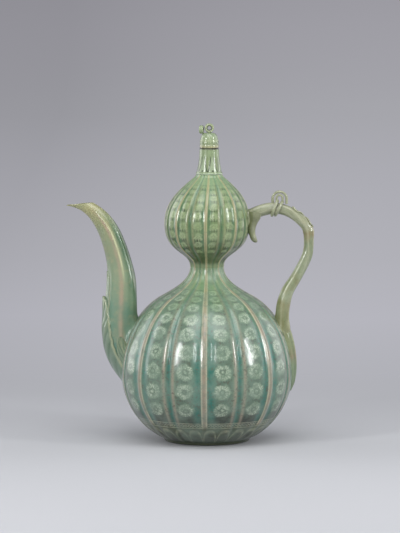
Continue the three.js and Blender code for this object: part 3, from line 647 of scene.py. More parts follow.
def makeLowerGourd():
    # From the middle of the underside out and up the lobed wall, then down a smooth inner
    # wall, one wall's thickness inside it, to the floor
    wall = gourd["wall"]
    outside = outline(lowerCurves, [56, 66, 44])
    outside[:, 1] = mix(baseZ, seamZ - 0.01, (outside[:, 1] - baseZ) / (waistZ - baseZ))
    outer = ringsOf(outside)
    under = outer[0] * np.array([0.25, 0.5, 0.75, 0.93])[:, None, None]
    under[..., 2] = baseZ
    inside = insetBy(outline(lowerCurves, [10, 12, 6]), wall)
    floorZ = baseZ + gourd["floorThickness"]
    inside = inside[inside[:, 1] > floorZ + 1][::-1]
    inside[0] = [gourd["waistRadius"] - wall, seamZ - 0.01]
    base = [[inside[-1, 0] - 3, floorZ], [inside[-1, 0] * 0.6, floorZ], [inside[-1, 0] * 0.25, floorZ]]
    inner = ringsOf(np.vstack([inside, base]), lobed=0.0)
    rings = np.concatenate([under, outer, inner])
    marks = glazeMarks(rings, lowerLook)
    addPiece("lower_gourd_skin", rings, lowerGlaze, "ewer", "lower_gourd", marks)


def makeUpperGourd():
    # Up the lobed wall, over the rim, down the neck's bore, and down the smooth inner wall
    wall, bore = gourd["wall"], gourd["mouthBore"]
    outside = outline(upperCurves, [48, 42, 16])
    outside[:, 1] = mix(seamZ + 0.01, gourd["topZ"], (outside[:, 1] - waistZ) / (neckZ - waistZ))
    inside = insetBy(outline(upperCurves, [8, 8, 4]), wall)[1:-1][::-1]
    top = [[bore, gourd["topZ"]], [bore, neckZ - wall]]
    inner = np.vstack([top, inside, [[gourd["waistRadius"] - wall, seamZ + 0.01]]])
    rings = np.concatenate([ringsOf(outside), ringsOf(inner, lobed=0.0)])
    marks = glazeMarks(rings, upperLook)
    addPiece("upper_gourd_skin", rings, upperGlaze, "ewer", "upper_gourd", marks, True)


makeLowerGourd()
makeUpperGourd()
print("gourds turned and ribbed")


# Turned pieces: neck, foot ring, stopper
def turnedRows(profile, around=96):
    # A list of [radius, height] turned about the axis
    angle = np.arange(around) / around * tau
    radius, z = np.hsplit(np.asarray(profile, float), 2)
    return np.stack([radius * np.cos(angle) + leanAt(z), radius * np.sin(angle), z + 0 * angle], axis=-1)


def courseMarks(along, hollow, ridge):
    # along: 0 to 1 along the piece. hollow: where the glaze pools, and on some pieces painted
    # shade. ridge: where it is thin, and on the spout's edge a painted highlight.
    parts = np.broadcast_arrays(along, hollow, ridge)
    return {"course": np.stack([np.clip(part, 0, 1) for part in parts], axis=-1)}


neck = {  # petalTip and petalTop are mm above its foot
    "footZ": gourd["topZ"], "lipZ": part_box("neck")[1][2] / mm, "bore": gourd["mouthBore"],
    "footRadius": gourd["neckFootRadius"], "lipRadius": 10.4, "collarProud": 0.7,
    "petals": 7, "petalTurn": -94.0, "petalTop": 20.5, "petalTip": 3.2,
}


def neckGlaze():
    # The upper glaze again, with hanging petals drawn in black slip round the neck: each is
    # the area where |side| is less than the square root of its rise, with a dot between tips
    look = {**commonLook, "cloud": "#9CAC86", "patch": "#7C9068", "cloudiness": 0.2, "ripple": 0.25}
    material, add, place = newGlaze("inlaid_celadon_neck", look)
    x, y, z = add("SeparateXYZ", place).outputs
    petalTop, petalTip = neck["footZ"] + neck["petalTop"], neck["footZ"] + neck["petalTip"]
    centred = add("Math SUBTRACT", x, axisX + gourd["neckLean"] * mm)
    turned = add("Math ARCTAN2", y, centred)
    zMm = add("Math MULTIPLY", z, 1 / mm)
    start = 10.5 - neck["petals"] * neck["petalTurn"] / 360
    petalTurn = add("Math MULTIPLY_ADD", turned, neck["petals"] / tau, start)
    side = add("Math SUBTRACT", add("Math FRACT", petalTurn), 0.5)
    sideSize = add("Math ABSOLUTE", side)
    rise = add("MapRange", zMm, petalTip, petalTop, 0.0, 1.0)
    width = add("Math MULTIPLY", add("Math POWER", rise, 0.55), 0.33)
    off = add("Math SUBTRACT", sideSize, width)
    line = add("MapRange", add("Math ABSOLUTE", off), 0.035, 0.1, 1.0, 0.0)
    halo = add("MapRange", off, 0.06, 0.14, 0.0, 0.7)
    fill = add("MapRange", off, -0.1, -0.04, 0.5, 0.0)
    above = add("MapRange", zMm, petalTop - 3.0, petalTop, 1.0, 0.0)
    below = add("MapRange", zMm, petalTip - 0.6, petalTip, 0.0, 1.0)
    inBand = add("Math MULTIPLY", above, below)
    dotX = add("Math MULTIPLY", add("Math SUBTRACT", 0.5, sideSize), 9.0)
    dotZ = add("Math SUBTRACT", zMm, petalTip + 0.9)
    far = add("VectorMath LENGTH", add("CombineXYZ", dotX, dotZ, 0.0))
    dot = add("MapRange", far.outputs["Value"], 0.7, 1.2, 0.9, 0.0)
    # painted shadow: the top 0.7 mm of the neck is dark brown, for the gap under the stopper
    lipGapShadow = add("MapRange", zMm, neck["lipZ"] - 1.1, neck["lipZ"] - 0.7, 0.0, 0.95)
    # painted highlight: a pale band round the rolled collar at the neck's foot, fading out 2.2 mm up
    collarHighlight = add("MapRange", zMm, neck["footZ"] + 0.6, neck["footZ"] + 2.2, 0.9, 0.0)
    colour = paintOver(add, "#86976F", (
        (halo, inBand, "#9FAF90"), (fill, inBand, "#6F8147"), (line, inBand, "#26321F"),
        (dot, "#26321F"), (collarHighlight, "#A7B79C"), (lipGapShadow, "#3A3020"),
    ))
    return finishGlaze(material, add, place, colour, look)


def makeNeck():
    # A rolled collar, a tube that narrows, a rounded lip, and the bore
    footZ, lipZ, foot, lip = (neck[key] for key in ("footZ", "lipZ", "footRadius", "lipRadius"))
    collar, bore = foot + neck["collarProud"], neck["bore"]
    profile = np.vstack([
        cubic([[foot, footZ], [collar + 0.3, footZ + 0.2], [collar + 0.1, footZ + 1.9],
               [foot - 0.3, footZ + 2.6]], 10),
        cubic([[foot - 0.3, footZ + 2.7], [lip + 1.2, footZ + 11.3], [lip + 0.2, footZ + 15.5],
               [lip, lipZ - 0.8]], 26),
        cubic([[lip, lipZ - 0.7], [lip, lipZ + 0.05], [lip - 1.4, lipZ], [bore + 0.6, lipZ - 0.05]], 8),
        cubic([[bore, lipZ - 0.7], [bore, lipZ - 9], [bore, footZ + 9], [bore, footZ]], 6),
    ])
    addPiece("neck_skin", turnedRows(profile), neckGlaze(), "ewer", "neck", joined=True)


def footGlaze():
    # Dark olive celadon down the outside of the foot, wiped off the edge that it was fired on
    look = {**commonLook, "cloud": "#5C6648", "patch": "#3A422C"}
    material, add, place = newGlaze("celadon_foot", look)
    wiped = add("MapRange", add("SeparateXYZ", place).outputs["Z"], 0.6 * mm, 1.6 * mm, 1.0, 0.0)
    return finishGlaze(material, add, place, paintOver(add, "#3F4933", [(wiped, "#2E2A20")]), look)


def makeFootRing():
    # A turned ring, rounded where it stands: [radius, height] from the inside to the outside
    profile = [[39.4, 3.15], [39.0, 1.2], [39.4, 0.5], [40.6, 0.05], [42.5, 0.0], [44.4, 0.05],
               [45.5, 0.5], [46.0, 1.2], [46.0, 3.15]]
    rows = turnedRows(profile, 128)
    addPiece("foot_ring_skin", rows, footGlaze(), "ewer", "foot_ring", joined=True)


makeNeck()
makeFootRing()
print("neck and foot made")


# Limbs: the spout and the handle follow a path in the plane of the spout and handle
def alongStations(stations, t):
    # A centripetal Catmull-Rom curve through [x, z, width] stations: knots lie apart by the
    # square root of the distance between stations, and each span is a cubic
    s = np.asarray(stations, float)
    s = np.vstack([2 * s[0] - s[1], s, 2 * s[-1] - s[-2]])
    t = np.clip(t, 0, 1) * (len(s) - 3)
    i = np.minimum(t.astype(int), len(s) - 4)
    f = (t - i)[..., None]
    a, b, c, d = (s[i + k] for k in range(4))
    gapA, gapB, gapC = (
        np.sqrt(np.linalg.norm(step[..., :2], axis=-1, keepdims=True)) for step in (b - a, c - b, d - c)
    )
    leave = gapB * ((b - a) / gapA - (c - a) / (gapA + gapB) + (c - b) / gapB)
    reach = gapB * ((c - b) / gapB - (d - b) / (gapB + gapC) + (d - c) / gapC)
    return b + leave * f + (3 * (c - b) - 2 * leave - reach) * f**2 + (2 * (b - c) + leave + reach) * f**3


def limbAxis(limb, t):
    # The path's point and width, and its direction: from just behind to just ahead, length 1
    here = alongStations(limb["stations"], t)
    ahead = alongStations(limb["stations"], np.minimum(t + 1e-3, 1))
    behind = alongStations(limb["stations"], np.maximum(t - 1e-3, 0))
    run = (ahead - behind)[..., :2]
    run /= np.linalg.norm(run, axis=-1, keepdims=True)
    return here, run


def limbPoints(limb, t, angle, grow=0.0):
    # The path's point, moved outwards by the half width times the section's share there and
    # turned round the path by the angle: 0 is the outer side, a quarter turn is -Y
    t, angle = np.broadcast_arrays(np.asarray(t, float), angle)
    here, run = limbAxis(limb, t)
    half = here[..., 2] / 2 * limb["section"](angle, t)
    out = (half + grow) * np.cos(angle)
    y = -(half * limb["thin"] + grow) * np.sin(angle)
    return np.stack([here[..., 0] - run[..., 1] * out, y, here[..., 1] + run[..., 0] * out], axis=-1)


def limbCentres(limb, t, shape):
    # The path's points in space, for measuring from
    here, _ = limbAxis(limb, np.broadcast_to(t, shape))
    return np.stack([here[..., 0], 0 * here[..., 0], here[..., 1]], axis=-1)


def limbGrid(limb, around, along):
    # The angles round a limb, the shares along it, its points and its centre line
    angle = np.arange(around)[None, :] / around * tau
    t = np.linspace(0, 1, along)[:, None]
    rows = limbPoints(limb, t, angle)
    return angle, t, rows, limbCentres(limb, t, rows.shape[:2])


def polygon(angle, sides, shift=0.0):
    # Radius of a regular polygon whose corners lie on the circle of radius 1
    step = tau / sides
    near = (angle + shift + step / 2) % step - step / 2
    return math.cos(step / 2) / np.cos(near)


spout = {
    "rootZ": bellyZ + 26.0, "tipX": -147.5, "tipZ": upperZ + 18.3, "width": 38.2, "thin": 0.88,
    "corners": 8, "cornerShift": -7.5, "crispness": 0.3, "edgeAngle": 105.0, "edgeCrispness": 0.6,
    "cutAngle": 7.0, "wall": 3.2, "lipWall": 1.5,
}
spoutRootX = -radiusAt(spout["rootZ"])
spout["stations"] = [
    [mix(spout["tipX"], spoutRootX, back), mix(spout["rootZ"], spout["tipZ"], up), width * spout["width"]]
    for back, up, width in [
        (1.577, -0.232, 0.97), (1.221, -0.132, 0.995), (1.007, -0.006, 1), (0.934, 0.124, 0.97),
        (0.93, 0.234, 0.927), (0.944, 0.361, 0.864), (0.944, 0.485, 0.801), (0.9, 0.601, 0.707),
        (0.823, 0.71, 0.644), (0.722, 0.81, 0.592), (0.587, 0.894, 0.518), (0.433, 0.956, 0.424),
        (0.255, 0.999, 0.34), (0.059, 1.021, 0.277), (-0.136, 1.03, 0.236),
    ]
]


def fromOuter(angle):
    # Angle round a limb from its outer side, whichever way it is measured
    return np.abs((angle + math.pi) % tau - math.pi)


def spoutSection(angle, t):
    # Between a circle and an octagon, crisp only at the edge that faces half sideways, and
    # rounder towards the tip
    away = fromOuter(angle)
    edge = spout["edgeCrispness"] * bell(away - math.radians(spout["edgeAngle"]), 0.5)
    crisp = (spout["crispness"] + edge) * (1 - 0.85 * smooth(t, 0.58, 0.82))
    shift = math.radians(spout["cornerShift"] - 180 / spout["corners"])
    return 1.01 * mix(1.0, polygon(away, spout["corners"], shift), crisp)


spout["section"] = spoutSection
# On the spout the ridge colour paints a highlight along its edge, and the pooled colour paints shade on the
# facet beyond it.
spoutGlaze = plainGlaze("celadon_spout", {
    **commonLook, "cloud": "#8B9B78", "patch": "#A59C78", "patchiness": 0.3, "specks": 0.06,
    "cracks": 0.1, "ripple": 0.2, "pooled": "#44694A", "ridge": "#CDCDA2", "bare": "#AA957E",
    "tones": [(0.0, "#4E7868"), (0.25, "#5E846F"), (0.42, "#7A9074"), (0.55, "#828E70"), (0.7, "#8C9066"),
              (0.86, "#9D9A6C"), (0.95, "#A09D70"), (1.0, "#7C7D4A")],
})


def makeSpout():
    # A tube with a wall of clay: out to the slanting mouth, over a rolled lip and back inside
    around = 160
    angle = np.arange(around) / around * tau
    cut = math.radians(spout["cutAngle"])
    normal = np.array([-math.sin(cut), 0, math.cos(cut)])
    tip = np.array([spout["tipX"], 0, spout["tipZ"]])

    def endsAt(grow):
        # the share of the path at which each line along the spout meets the mouth's plane
        t = np.linspace(0.6, 1, 500)[:, None]
        above = (limbPoints(spout, t, angle[None, :], grow(t)) - tip) @ normal
        first = np.argmax(above > 0, axis=0)
        first = np.where((above > 0).any(axis=0), first, len(t) - 1)
        low, high = above[first - 1, np.arange(around)], above[first, np.arange(around)]
        share = np.clip(-low / np.where(high == low, 1, high - low), 0, 1)
        return t[first - 1, 0] + share * (t[1, 0] - t[0, 0])

    steps = np.linspace(0, 1, 130)[:, None]
    start = 0.1
    outerT = start + steps * (endsAt(lambda t: 0 * t)[None, :] - start)
    outer = limbPoints(spout, outerT, angle[None, :])
    thickness = lambda t: -mix(spout["wall"], spout["lipWall"], smooth(t, 0.3, 0.95))
    innerSteps = np.linspace(1, 0, 34)[:, None]
    innerT = start + innerSteps * (endsAt(thickness)[None, :] - start)
    inner = limbPoints(spout, innerT, angle[None, :], thickness(innerT))
    # the lip: half a turn from the outer edge to the inner one, raised by a third of its width
    turn = np.linspace(0, math.pi, 7)[1:-1][:, None, None]
    middle, half = (outer[-1] + inner[0]) / 2, (outer[-1] - inner[0]) / 2
    raised = np.linalg.norm(half, axis=-1, keepdims=True) * 0.65
    lip = middle + half * np.cos(turn) + raised * np.sin(turn) * normal
    lip -= normal * raised.max() * 0.5
    outer = luteTo(outer, limbCentres(spout, outerT, outerT.shape), flare=1.8, reach=6)
    inner[..., 0] -= np.maximum(-1.5 - wallGap(inner)[0], 0)  # no deeper than the wall's hole
    rows = np.concatenate([outer, lip, inner])
    alongShare = np.concatenate([outerT, np.ones((5, around)), innerT])
    away = fromOuter(angle)[None, :]
    edge = math.radians(spout["edgeAngle"])
    # painted highlight: a pale line in the ridge colour along the crisp edge, over the middle of the spout
    ridge = bell(away - edge, 0.075) * smooth(alongShare, 0.4, 0.5) * (1 - smooth(alongShare, 0.62, 0.78))
    # painted shade: the facet beyond that edge is darkened in the pooled colour, less towards the root and
    # not at all near the tip
    facetShade = smooth(away, edge + 0.12, edge + 0.4) * (1 - smooth(alongShare, 0.6, 0.78))
    facetShade = facetShade * mix(0.45, 0.95, smooth(alongShare, 0.3, 0.5))
    bare = bell(away - edge + 0.2, 0.17) * smooth(alongShare, 0.05, 0.2)
    bare = bare * (1 - smooth(alongShare, 0.7, 0.84))
    marks = {**courseMarks(alongShare, facetShade, ridge), "bare": np.broadcast_to(bare, rows.shape[:2])}
    addPiece("spout_skin", rows, spoutGlaze, "ewer", "spout", marks, joined=True)


makeSpout()
print("spout drawn")

# Leaves round the spout's root
leafLook = {
    **commonLook, "cloud": "#88998A", "patch": "#6E846C", "pooled": "#4C6A50", "ridge": "#B0B28C",
    "tones": [(0.0, "#678170"), (0.5, "#6E836B"), (1.0, "#7F8E68")],
}
leafGlaze = plainGlaze("celadon_leaves", leafLook)
sideLeaf = {"tip": 0.2, "bend": 0, "spread": 30, "blunt": 1.4, "thick": 2.0, "lift": 0.5, "veins": 4}
sheaths = {  # angle, bend and spread in degrees, thick and lift in mm
    "outer": {"node": "spout_sheath_outer", "tip": 0.36, "angle": 0.0, "bend": 0, "spread": 66,
              "blunt": 3.4, "thick": 2.3, "lift": 1.6, "veins": 7},
    "inner": {"node": "spout_sheath_outer", "tip": 0.475, "angle": 4.0, "bend": 14, "spread": 54,
              "blunt": 1.3, "thick": 0.8, "lift": 0.0, "veins": 3},
    "near": {**sideLeaf, "node": "spout_sheath_near", "angle": 90.0},
    "far": {**sideLeaf, "node": "spout_sheath_far", "angle": -90.0},
}


def makeSheath(name, leaf):
    # Across: from edge to edge on the top, then back underneath, sunk in the spout. Along:
    # the reach shrinks as the root of (1 - share to a power), with small teeth; slanting veins
    # run from the middle rib to the edges.
    along, across = 90, 49
    share = np.linspace(0, 1, along)[:, None]
    side = np.linspace(-1, 1, across)[None, :]
    teeth = 1 - 0.1 * np.abs((share * 11) % 1 - 0.5) * smooth(share, 0.3, 0.5)
    reach = (math.radians(leaf["spread"]) * np.sqrt(1 - share ** leaf["blunt"]) + 0.04) * teeth
    t = mix(0.02, leaf["tip"], share)
    slant = (np.abs(side) * 2.2 - share * leaf["veins"]) * math.pi
    veins = np.abs(np.sin(slant)) ** 5 * smooth(np.abs(side), 0.05, 0.2)
    edge = smooth(np.abs(side), 0.82, 0.95) * (1 - smooth(np.abs(side), 0.96, 1))
    middleRib = bell(side, 0.07)
    crown = mix(0.3, 1, 1 - np.abs(side) ** 5)
    lift = leaf["lift"] * smooth(share, 0.75, 1)
    carved = min(1, leaf["thick"] / 1.6)
    top = leaf["thick"] * mix(0.8, 1.1, share) * crown + lift
    top = top + carved * (0.35 * edge + 0.3 * middleRib - 0.4 * veins * (1 - edge))
    middle = np.radians(leaf["angle"] + leaf["bend"] * share**2)
    over = limbPoints(spout, t, middle + side * reach, 0.1 + top)
    beneath = limbPoints(spout, t, middle + side[:, ::-1] * reach, -0.8 + lift * 0.9)
    rows = np.concatenate([over, beneath], axis=1)
    rows = luteTo(rows, limbCentres(spout, t, rows.shape[:2]), flare=0.6, reach=4)
    hollow = np.concatenate([veins * 0.75, np.ones_like(veins)], axis=1)
    ridge = np.concatenate([np.maximum(edge, middleRib * 0.7) + 0 * share, np.zeros_like(veins)], axis=1)
    marks = courseMarks(share, hollow, ridge * 0.7)
    addPiece(f"spout_leaf_{name}", rows, leafGlaze, "ewer", leaf["node"], marks)


for name, leaf in sheaths.items():
    makeSheath(name, leaf)
print("leaves laid round the spout")

# The handle, rolled like a vine
handle = {
    "startZ": upperZ + 5.0, "topZ": upperZ + 16.5, "footZ": bellyZ + 37.5, "reach": 109.4, "footSink": 9.9,
    "width": 12.8, "thin": 0.92,
}
startX, footX = radiusAt(handle["startZ"]), radiusAt(handle["footZ"]) - handle["footSink"]
archStations = [
    (-0.093, 0.113, 0.9), (0.07, 0.044, 0.97), (0.171, 0.024, 1), (0.284, 0.0085, 1), (0.394, 0, 0.97),
    (0.519, 0.004, 0.94), (0.651, 0.023, 0.906), (0.767, 0.054, 0.875), (0.866, 0.091, 0.86),
    (0.95, 0.13, 0.89), (0.994, 0.173, 0.922), (1, 0.232, 0.844),
]
fallStations = [
    (0.006, 0.292, 0.844), (0.047, 0.349, 0.906), (0.147, 0.408, 0.922), (0.412, 0.528, 0.953),
    (0.676, 0.634, 1.08), (0.8, 0.739, 1.18), (0.83, 0.838, 1.17), (0.8, 0.923, 1.22), (0.9, 1, 1.1),
]
# Along the arch the numbers are shares of the way out and down, then of the way back and down
spans = ((archStations, startX, handle["reach"]), (fallStations, handle["reach"], footX))
handle["stations"] = [
    [mix(near, far, out), mix(handle["topZ"], handle["footZ"], down), width * handle["width"]]
    for stations, near, far in spans for out, down, width in stations
]
kinkAt = 10 / (len(handle["stations"]) - 1)  # the kink is at the eleventh station


def flutesAt(angle, t):
    # Five soft flutes that wander round the rolled vine
    return np.cos(5 * angle + 3 * np.sin(9 * t) + 0.8)


def handleSection(angle, t):
    # Flutes, a slow unevenness, and a swelling at the kink
    uneven = 0.012 * np.sin(31 * t + 2 * angle)
    return 0.985 + 0.022 * flutesAt(angle, t) - uneven + 0.05 * bell(t - kinkAt, 0.018)


handle["section"] = handleSection
limbGlaze = plainGlaze("celadon_handle", {
    **commonLook, "cloud": "#A5A98C", "patch": "#8B9068", "patchiness": 0.35,
    "pooled": "#66794F", "ridge": "#C3C4A4",
    "tones": [(0.0, "#797F58"), (0.12, "#84886A"), (0.42, "#95987C"), (0.52, "#887A50"), (0.6, "#848E70"),
              (0.76, "#909B7C"), (0.84, "#77733C"), (0.93, "#7E8054"), (1.0, "#777E4D")],
})
rootGlaze = plainGlaze("celadon_handle_tail", {
    **commonLook, "cloud": "#8E9A7C", "patch": "#76835C", "pooled": "#586C48", "ridge": "#B2B48E",
    "tones": [(0.0, "#7B824E"), (0.25, "#838B5E"), (0.45, "#8E7F64"), (0.6, "#788A6A"), (1.0, "#667C5C")],
})


def makeHandle():
    # The rolled vine, its glaze deep in the flutes and thin on their crests
    angle, t, rows, centres = limbGrid(handle, 72, 260)
    rows = luteTo(rows, centres, flare=1.5, reach=4.5)
    flutes = flutesAt(angle, t)
    marks = courseMarks(t, smooth(-flutes, 0.3, 1) * 0.35, smooth(flutes, 0.5, 1) * 0.3)
    addPiece("handle_skin", rows, limbGlaze, "ewer", "handle_vine", marks)


rootLeaf = {"rise": 13.5, "drop": 54.5, "proud": 8.6, "thin": 0.85}
curlLeaf = {
    "thin": 1.1,
    "stations": [  # mm outside the bulb's widest radius, mm above its middle, and width
        (7.0, 12.5, 16.0), (6.0, 6.8, 14.2), (4.7, 1.4, 10.4), (3.6, -5.2, 8.0), (3.9, -11.6, 7.1),
        (5.8, -17.0, 6.4), (9.0, -20.2, 3.0),
    ],
}


def makeRootLeaf():
    # Half sunk in the wall; how far it stands out shrinks towards its rounded tip
    share = np.linspace(0, 1, 11)
    z = handle["footZ"] + mix(rootLeaf["rise"], -rootLeaf["drop"], share)
    proud = rootLeaf["proud"] * (1 - 0.55 * share) * np.sqrt(1.04 - share**6)
    proud = proud * mix(0.88, 1, smooth(share, 0, 0.3))
    x = radiusAt(z) + 1.2 * (1 - smooth(share, 0, 0.3))
    # two long hollows run down it beside a middle ridge
    section = lambda angle, t: 1 - 0.07 * bell(fromOuter(angle) - 0.75, 0.22)
    limb = {"stations": np.column_stack([x, z, 2 * proud]), "thin": rootLeaf["thin"], "section": section}
    angle, t, rows, centres = limbGrid(limb, 64, 90)
    rows = luteTo(rows, centres, flare=0.9, reach=3)
    marks = courseMarks(t, bell(fromOuter(angle) - 0.75, 0.2) * 0.6, bell(fromOuter(angle), 0.18) * 0.6)
    addPiece("handle_root_leaf_skin", rows, rootGlaze, "ewer", "handle_root_leaf", marks)


def makeCurlLeaf():
    # A leaf under the handle's start that lies on the bulb and flicks out at its tip
    startX, startZ = upper
    stations = [[startX + out, startZ + up, width] for out, up, width in curlLeaf["stations"]]
    section = lambda angle, t: 1 - 0.06 * bell(fromOuter(angle), 0.35)
    limb = {"stations": stations, "thin": curlLeaf["thin"], "section": section}
    angle, t, rows, centres = limbGrid(limb, 56, 70)
    # the tip is rounded off: the last rows draw in to the path as a quarter circle
    close = np.sqrt(np.clip(1 - smooth(t, 0.95, 1) ** 2 * 0.999, 0, 1))[..., None]
    rows = centres + (rows - centres) * close
    rows = luteTo(rows, centres, flare=0.8, reach=3)
    marks = courseMarks(0.06 * t, bell(fromOuter(angle), 0.3) * 0.4, 0.0)
    addPiece("handle_curl_leaf_skin", rows, limbGlaze, "ewer", "handle_curl_leaf", marks)


makeHandle()
makeRootLeaf()
makeCurlLeaf()
print("handle and its leaves rolled")

# The knot of thin vine on the handle
knot = {
    "middleX": 75.0, "shift": 3.0, "seat": 0.5, "wrapCord": 1.8, "wrapSpacing": 4.5, "wrapTilt": 24.0,
    "loopCord": 1.5, "loopSpan": 15.0, "loopRise": 12.1, "coilCord": 1.3, "coilSpan": 6.4, "coilRise": 8.6,
    "tendrilCord": 1.0,
}


def handleShareAt(x):
    # The share of the handle's path at which it first gets as far out as x
    t = np.linspace(0, 0.5, 4000)
    return float(t[np.argmax(alongStations(handle["stations"], t)[:, 0] >= x)])


def cordRows(points, radius, sides=24, joined=False, up=(0.0, 1.0, 0.0), flat=1.0):
    # A tube: round each point of the path, across and up are two unit vectors square to the
    # path, and the ring is radius times across cos(angle) plus flat times up sin(angle)
    points = np.asarray(points, float)
    if joined:
        run = np.roll(points, -1, axis=0) - np.roll(points, 1, axis=0)
    else:
        run = np.gradient(points, axis=0)
    run /= np.linalg.norm(run, axis=1, keepdims=True)
    up = np.broadcast_to(np.asarray(up, float), points.shape)
    up = up - (up * run).sum(1, keepdims=True) * run
    up /= np.linalg.norm(up, axis=1, keepdims=True)
    across = np.cross(run, up)
    angle = np.arange(sides)[None, :, None] / sides * tau
    radius = np.broadcast_to(np.asarray(radius, float), (len(points),))[:, None, None]
    return points[:, None] + radius * (across[:, None] * np.cos(angle) + flat * up[:, None] * np.sin(angle))


def addCord(name, rows, tone, joined=False):
    # A roll of thin clay; the glaze pools along its two sides
    angle = np.broadcast_to(np.arange(rows.shape[1]) / rows.shape[1] * tau, rows.shape[:2])
    marks = courseMarks(tone, smooth(-np.cos(2 * angle), 0.4, 1) * 0.3, 0.15)
    addPiece(f"{name}_skin", rows, limbGlaze, "ewer", name, marks, joined)


def makeWrap(index, x):
    # One turn round the handle, which leans away from the gourd at the top
    at = handleShareAt(x)
    here, run = limbAxis(handle, np.array([at]))
    angle = np.linspace(0, tau, 48, endpoint=False)
    ring = limbPoints(handle, np.full(48, at), angle, knot["seat"] + knot["wrapCord"] * 0.85)
    lean = here[0, 2] / 2 * math.tan(math.radians(knot["wrapTilt"])) * np.cos(angle)
    ring = ring + lean[:, None] * np.array([run[0, 0], 0, run[0, 1]])
    centre = np.array([here[0, 0], 0, here[0, 1]])
    radius = knot["wrapCord"] * (1 + 0.08 * np.sin(angle * 3 + index))
    rows = cordRows(ring, radius, joined=True, up=ring - centre, flat=0.85)
    addCord(f"tie_wrap_{index}", rows, 0.25, joined=True)


def makeArch(name, span, rise, cord, seat):
    # Two straight legs on the handle's back and half a circle between their tops
    at = handleShareAt(knot["middleX"] + knot["shift"])
    here = alongStations(handle["stations"], np.array([at]))[0]
    backZ = here[1] + here[2] / 2
    turn = np.linspace(math.pi, 0, 41)
    height = rise - span / 2
    left, right = [here[0] - span / 2] * 4, [here[0] + span / 2] * 4
    x = np.concatenate([left, here[0] + span / 2 * np.cos(turn), right])
    top = backZ + height + span / 2 * np.sin(turn)
    legs = np.linspace(backZ + seat, backZ + height, 5)[:-1]
    z = np.concatenate([legs, top, legs[::-1]])
    points = np.column_stack([x, 0 * x, z])
    rows = cordRows(points, cord * (1 + 0.06 * np.sin(np.arange(len(points)) * 0.35)))
    addCord(name, rows, 0.28)


def makeTendril():
    # A thread along the handle's back that sways half a radian to both sides and thins out
    start = handleShareAt(knot["middleX"] + knot["shift"] + knot["loopSpan"] / 2 + knot["loopCord"]
                          + knot["tendrilCord"] + 1)
    share = np.linspace(0, 1, 90)
    t = start + share * 0.17
    angle = 0.5 * np.sin(3 * math.pi * share)
    points = limbPoints(handle, t, angle, 0.75 * knot["tendrilCord"])
    radius = knot["tendrilCord"] * (1 - 0.35 * share)
    radius = radius * np.sqrt(np.clip(1 - smooth(share, 0.97, 1), 0.02, 1))
    rows = cordRows(points, radius, sides=16)
    addCord("tie_tendril", rows, 0.35)


for index, side in ((1, -1), (2, 1)):
    makeWrap(index, knot["middleX"] + side * knot["wrapSpacing"] / 2)
makeArch("tie_loop", knot["loopSpan"], knot["loopRise"], knot["loopCord"], -1.0)
makeArch("tie_coil", knot["coilSpan"], knot["coilRise"], knot["coilCord"], 2.6)
makeTendril()
print("knot tied")

# The stopper
stopper = {
    "seatZ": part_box("lid_cap")[0][2] / mm, "topZ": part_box("lid_cap")[1][2] / mm, "radius": 10.2,
    "shoulderRadius": 9.2, "topRadius": 6.9, "scallops": 24, "scallopZ": 6.4,
    "plugRadius": 6.9, "plugLength": 11.0, "loopStrap": 2.1, "loopInward": 1.1, "loopDepth": 4.6,
    "loopSink": 0.4,
}


# The first two tones paint a shadow: a dark band along the cap's lower edge, where it sits over the neck's
# lip.
stopperGlaze = plainGlaze("celadon_stopper", {
    **commonLook, "wander": 0.008, "ripple": 0.2, "cloud": "#9FAC84", "patch": "#85936A",
    "pooled": "#2F3F2A", "ridge": "#B9BC94",
    "tones": [(0.0, "#2E2616"), (0.042, "#2E2616"), (0.072, "#A59871"), (0.16, "#9B9A74"),
              (0.26, "#88956E"), (0.7, "#8B9C76"), (1.0, "#7F9073")],
})


def makeCap():
    # Underside, rounded rim, band, groove, sloping wall and flat top, turned in one go
    seat, high = stopper["seatZ"], stopper["topZ"] - stopper["seatZ"]
    top, edge = seat + high, stopper["radius"]
    shoulder, crown = stopper["shoulderRadius"], stopper["topRadius"]
    profile = np.vstack([
        [[3, seat], [7, seat], [edge - 0.8, seat]],
        cubic([[edge - 0.4, seat], [edge, seat + 0.1], [edge, seat + 0.6], [edge, seat + 1]], 5),
        cubic([[edge, seat + 1.2], [edge, seat + 2.4], [edge, seat + 3.2], [edge - 0.1, seat + 3.6]], 5),
        cubic([[edge - 0.2, seat + 3.9], [edge - 0.5, seat + 4.1], [edge - 0.4, seat + 4.5],
               [edge - 0.15, seat + 4.8]], 6),
        cubic([[edge - 0.1, seat + 5], [edge - 0.1, seat + 8], [shoulder + 0.2, seat + 9.4],
               [shoulder, seat + 10.2]], 10),
        cubic([[shoulder, seat + 10.3], [shoulder - 0.5, seat + 13.8], [crown, top - 0.2],
               [crown * 0.62, top - 0.15]], 12),
        [[2.5, top], [1, top]],
    ])
    rows = turnedRows(profile)
    z = rows[..., 2] - seat
    # a ring of small pressed scallops above the band
    waves = np.cos(np.arange(rows.shape[1]) / rows.shape[1] * tau * stopper["scallops"])
    above = z - stopper["scallopZ"]
    pressed = bell(above, 0.7) * waves * 0.12
    middle = np.array([gourd["neckLean"], 0])
    rows[..., :2] = middle + (rows[..., :2] - middle) * (1 + pressed / edge)[..., None]
    hollow = bell(z - 4.1, 0.5) * 0.15 + bell(above, 0.9) * smooth(-waves, 0, 1) * 0.8
    ridge = bell(z - 2.4, 0.9) * 0.2 + bell(z - 8.2, 0.5) * 0.4
    marks = courseMarks(z / high, hollow, ridge)
    addPiece("lid_cap_skin", rows, stopperGlaze, "lid", "lid_cap", marks)


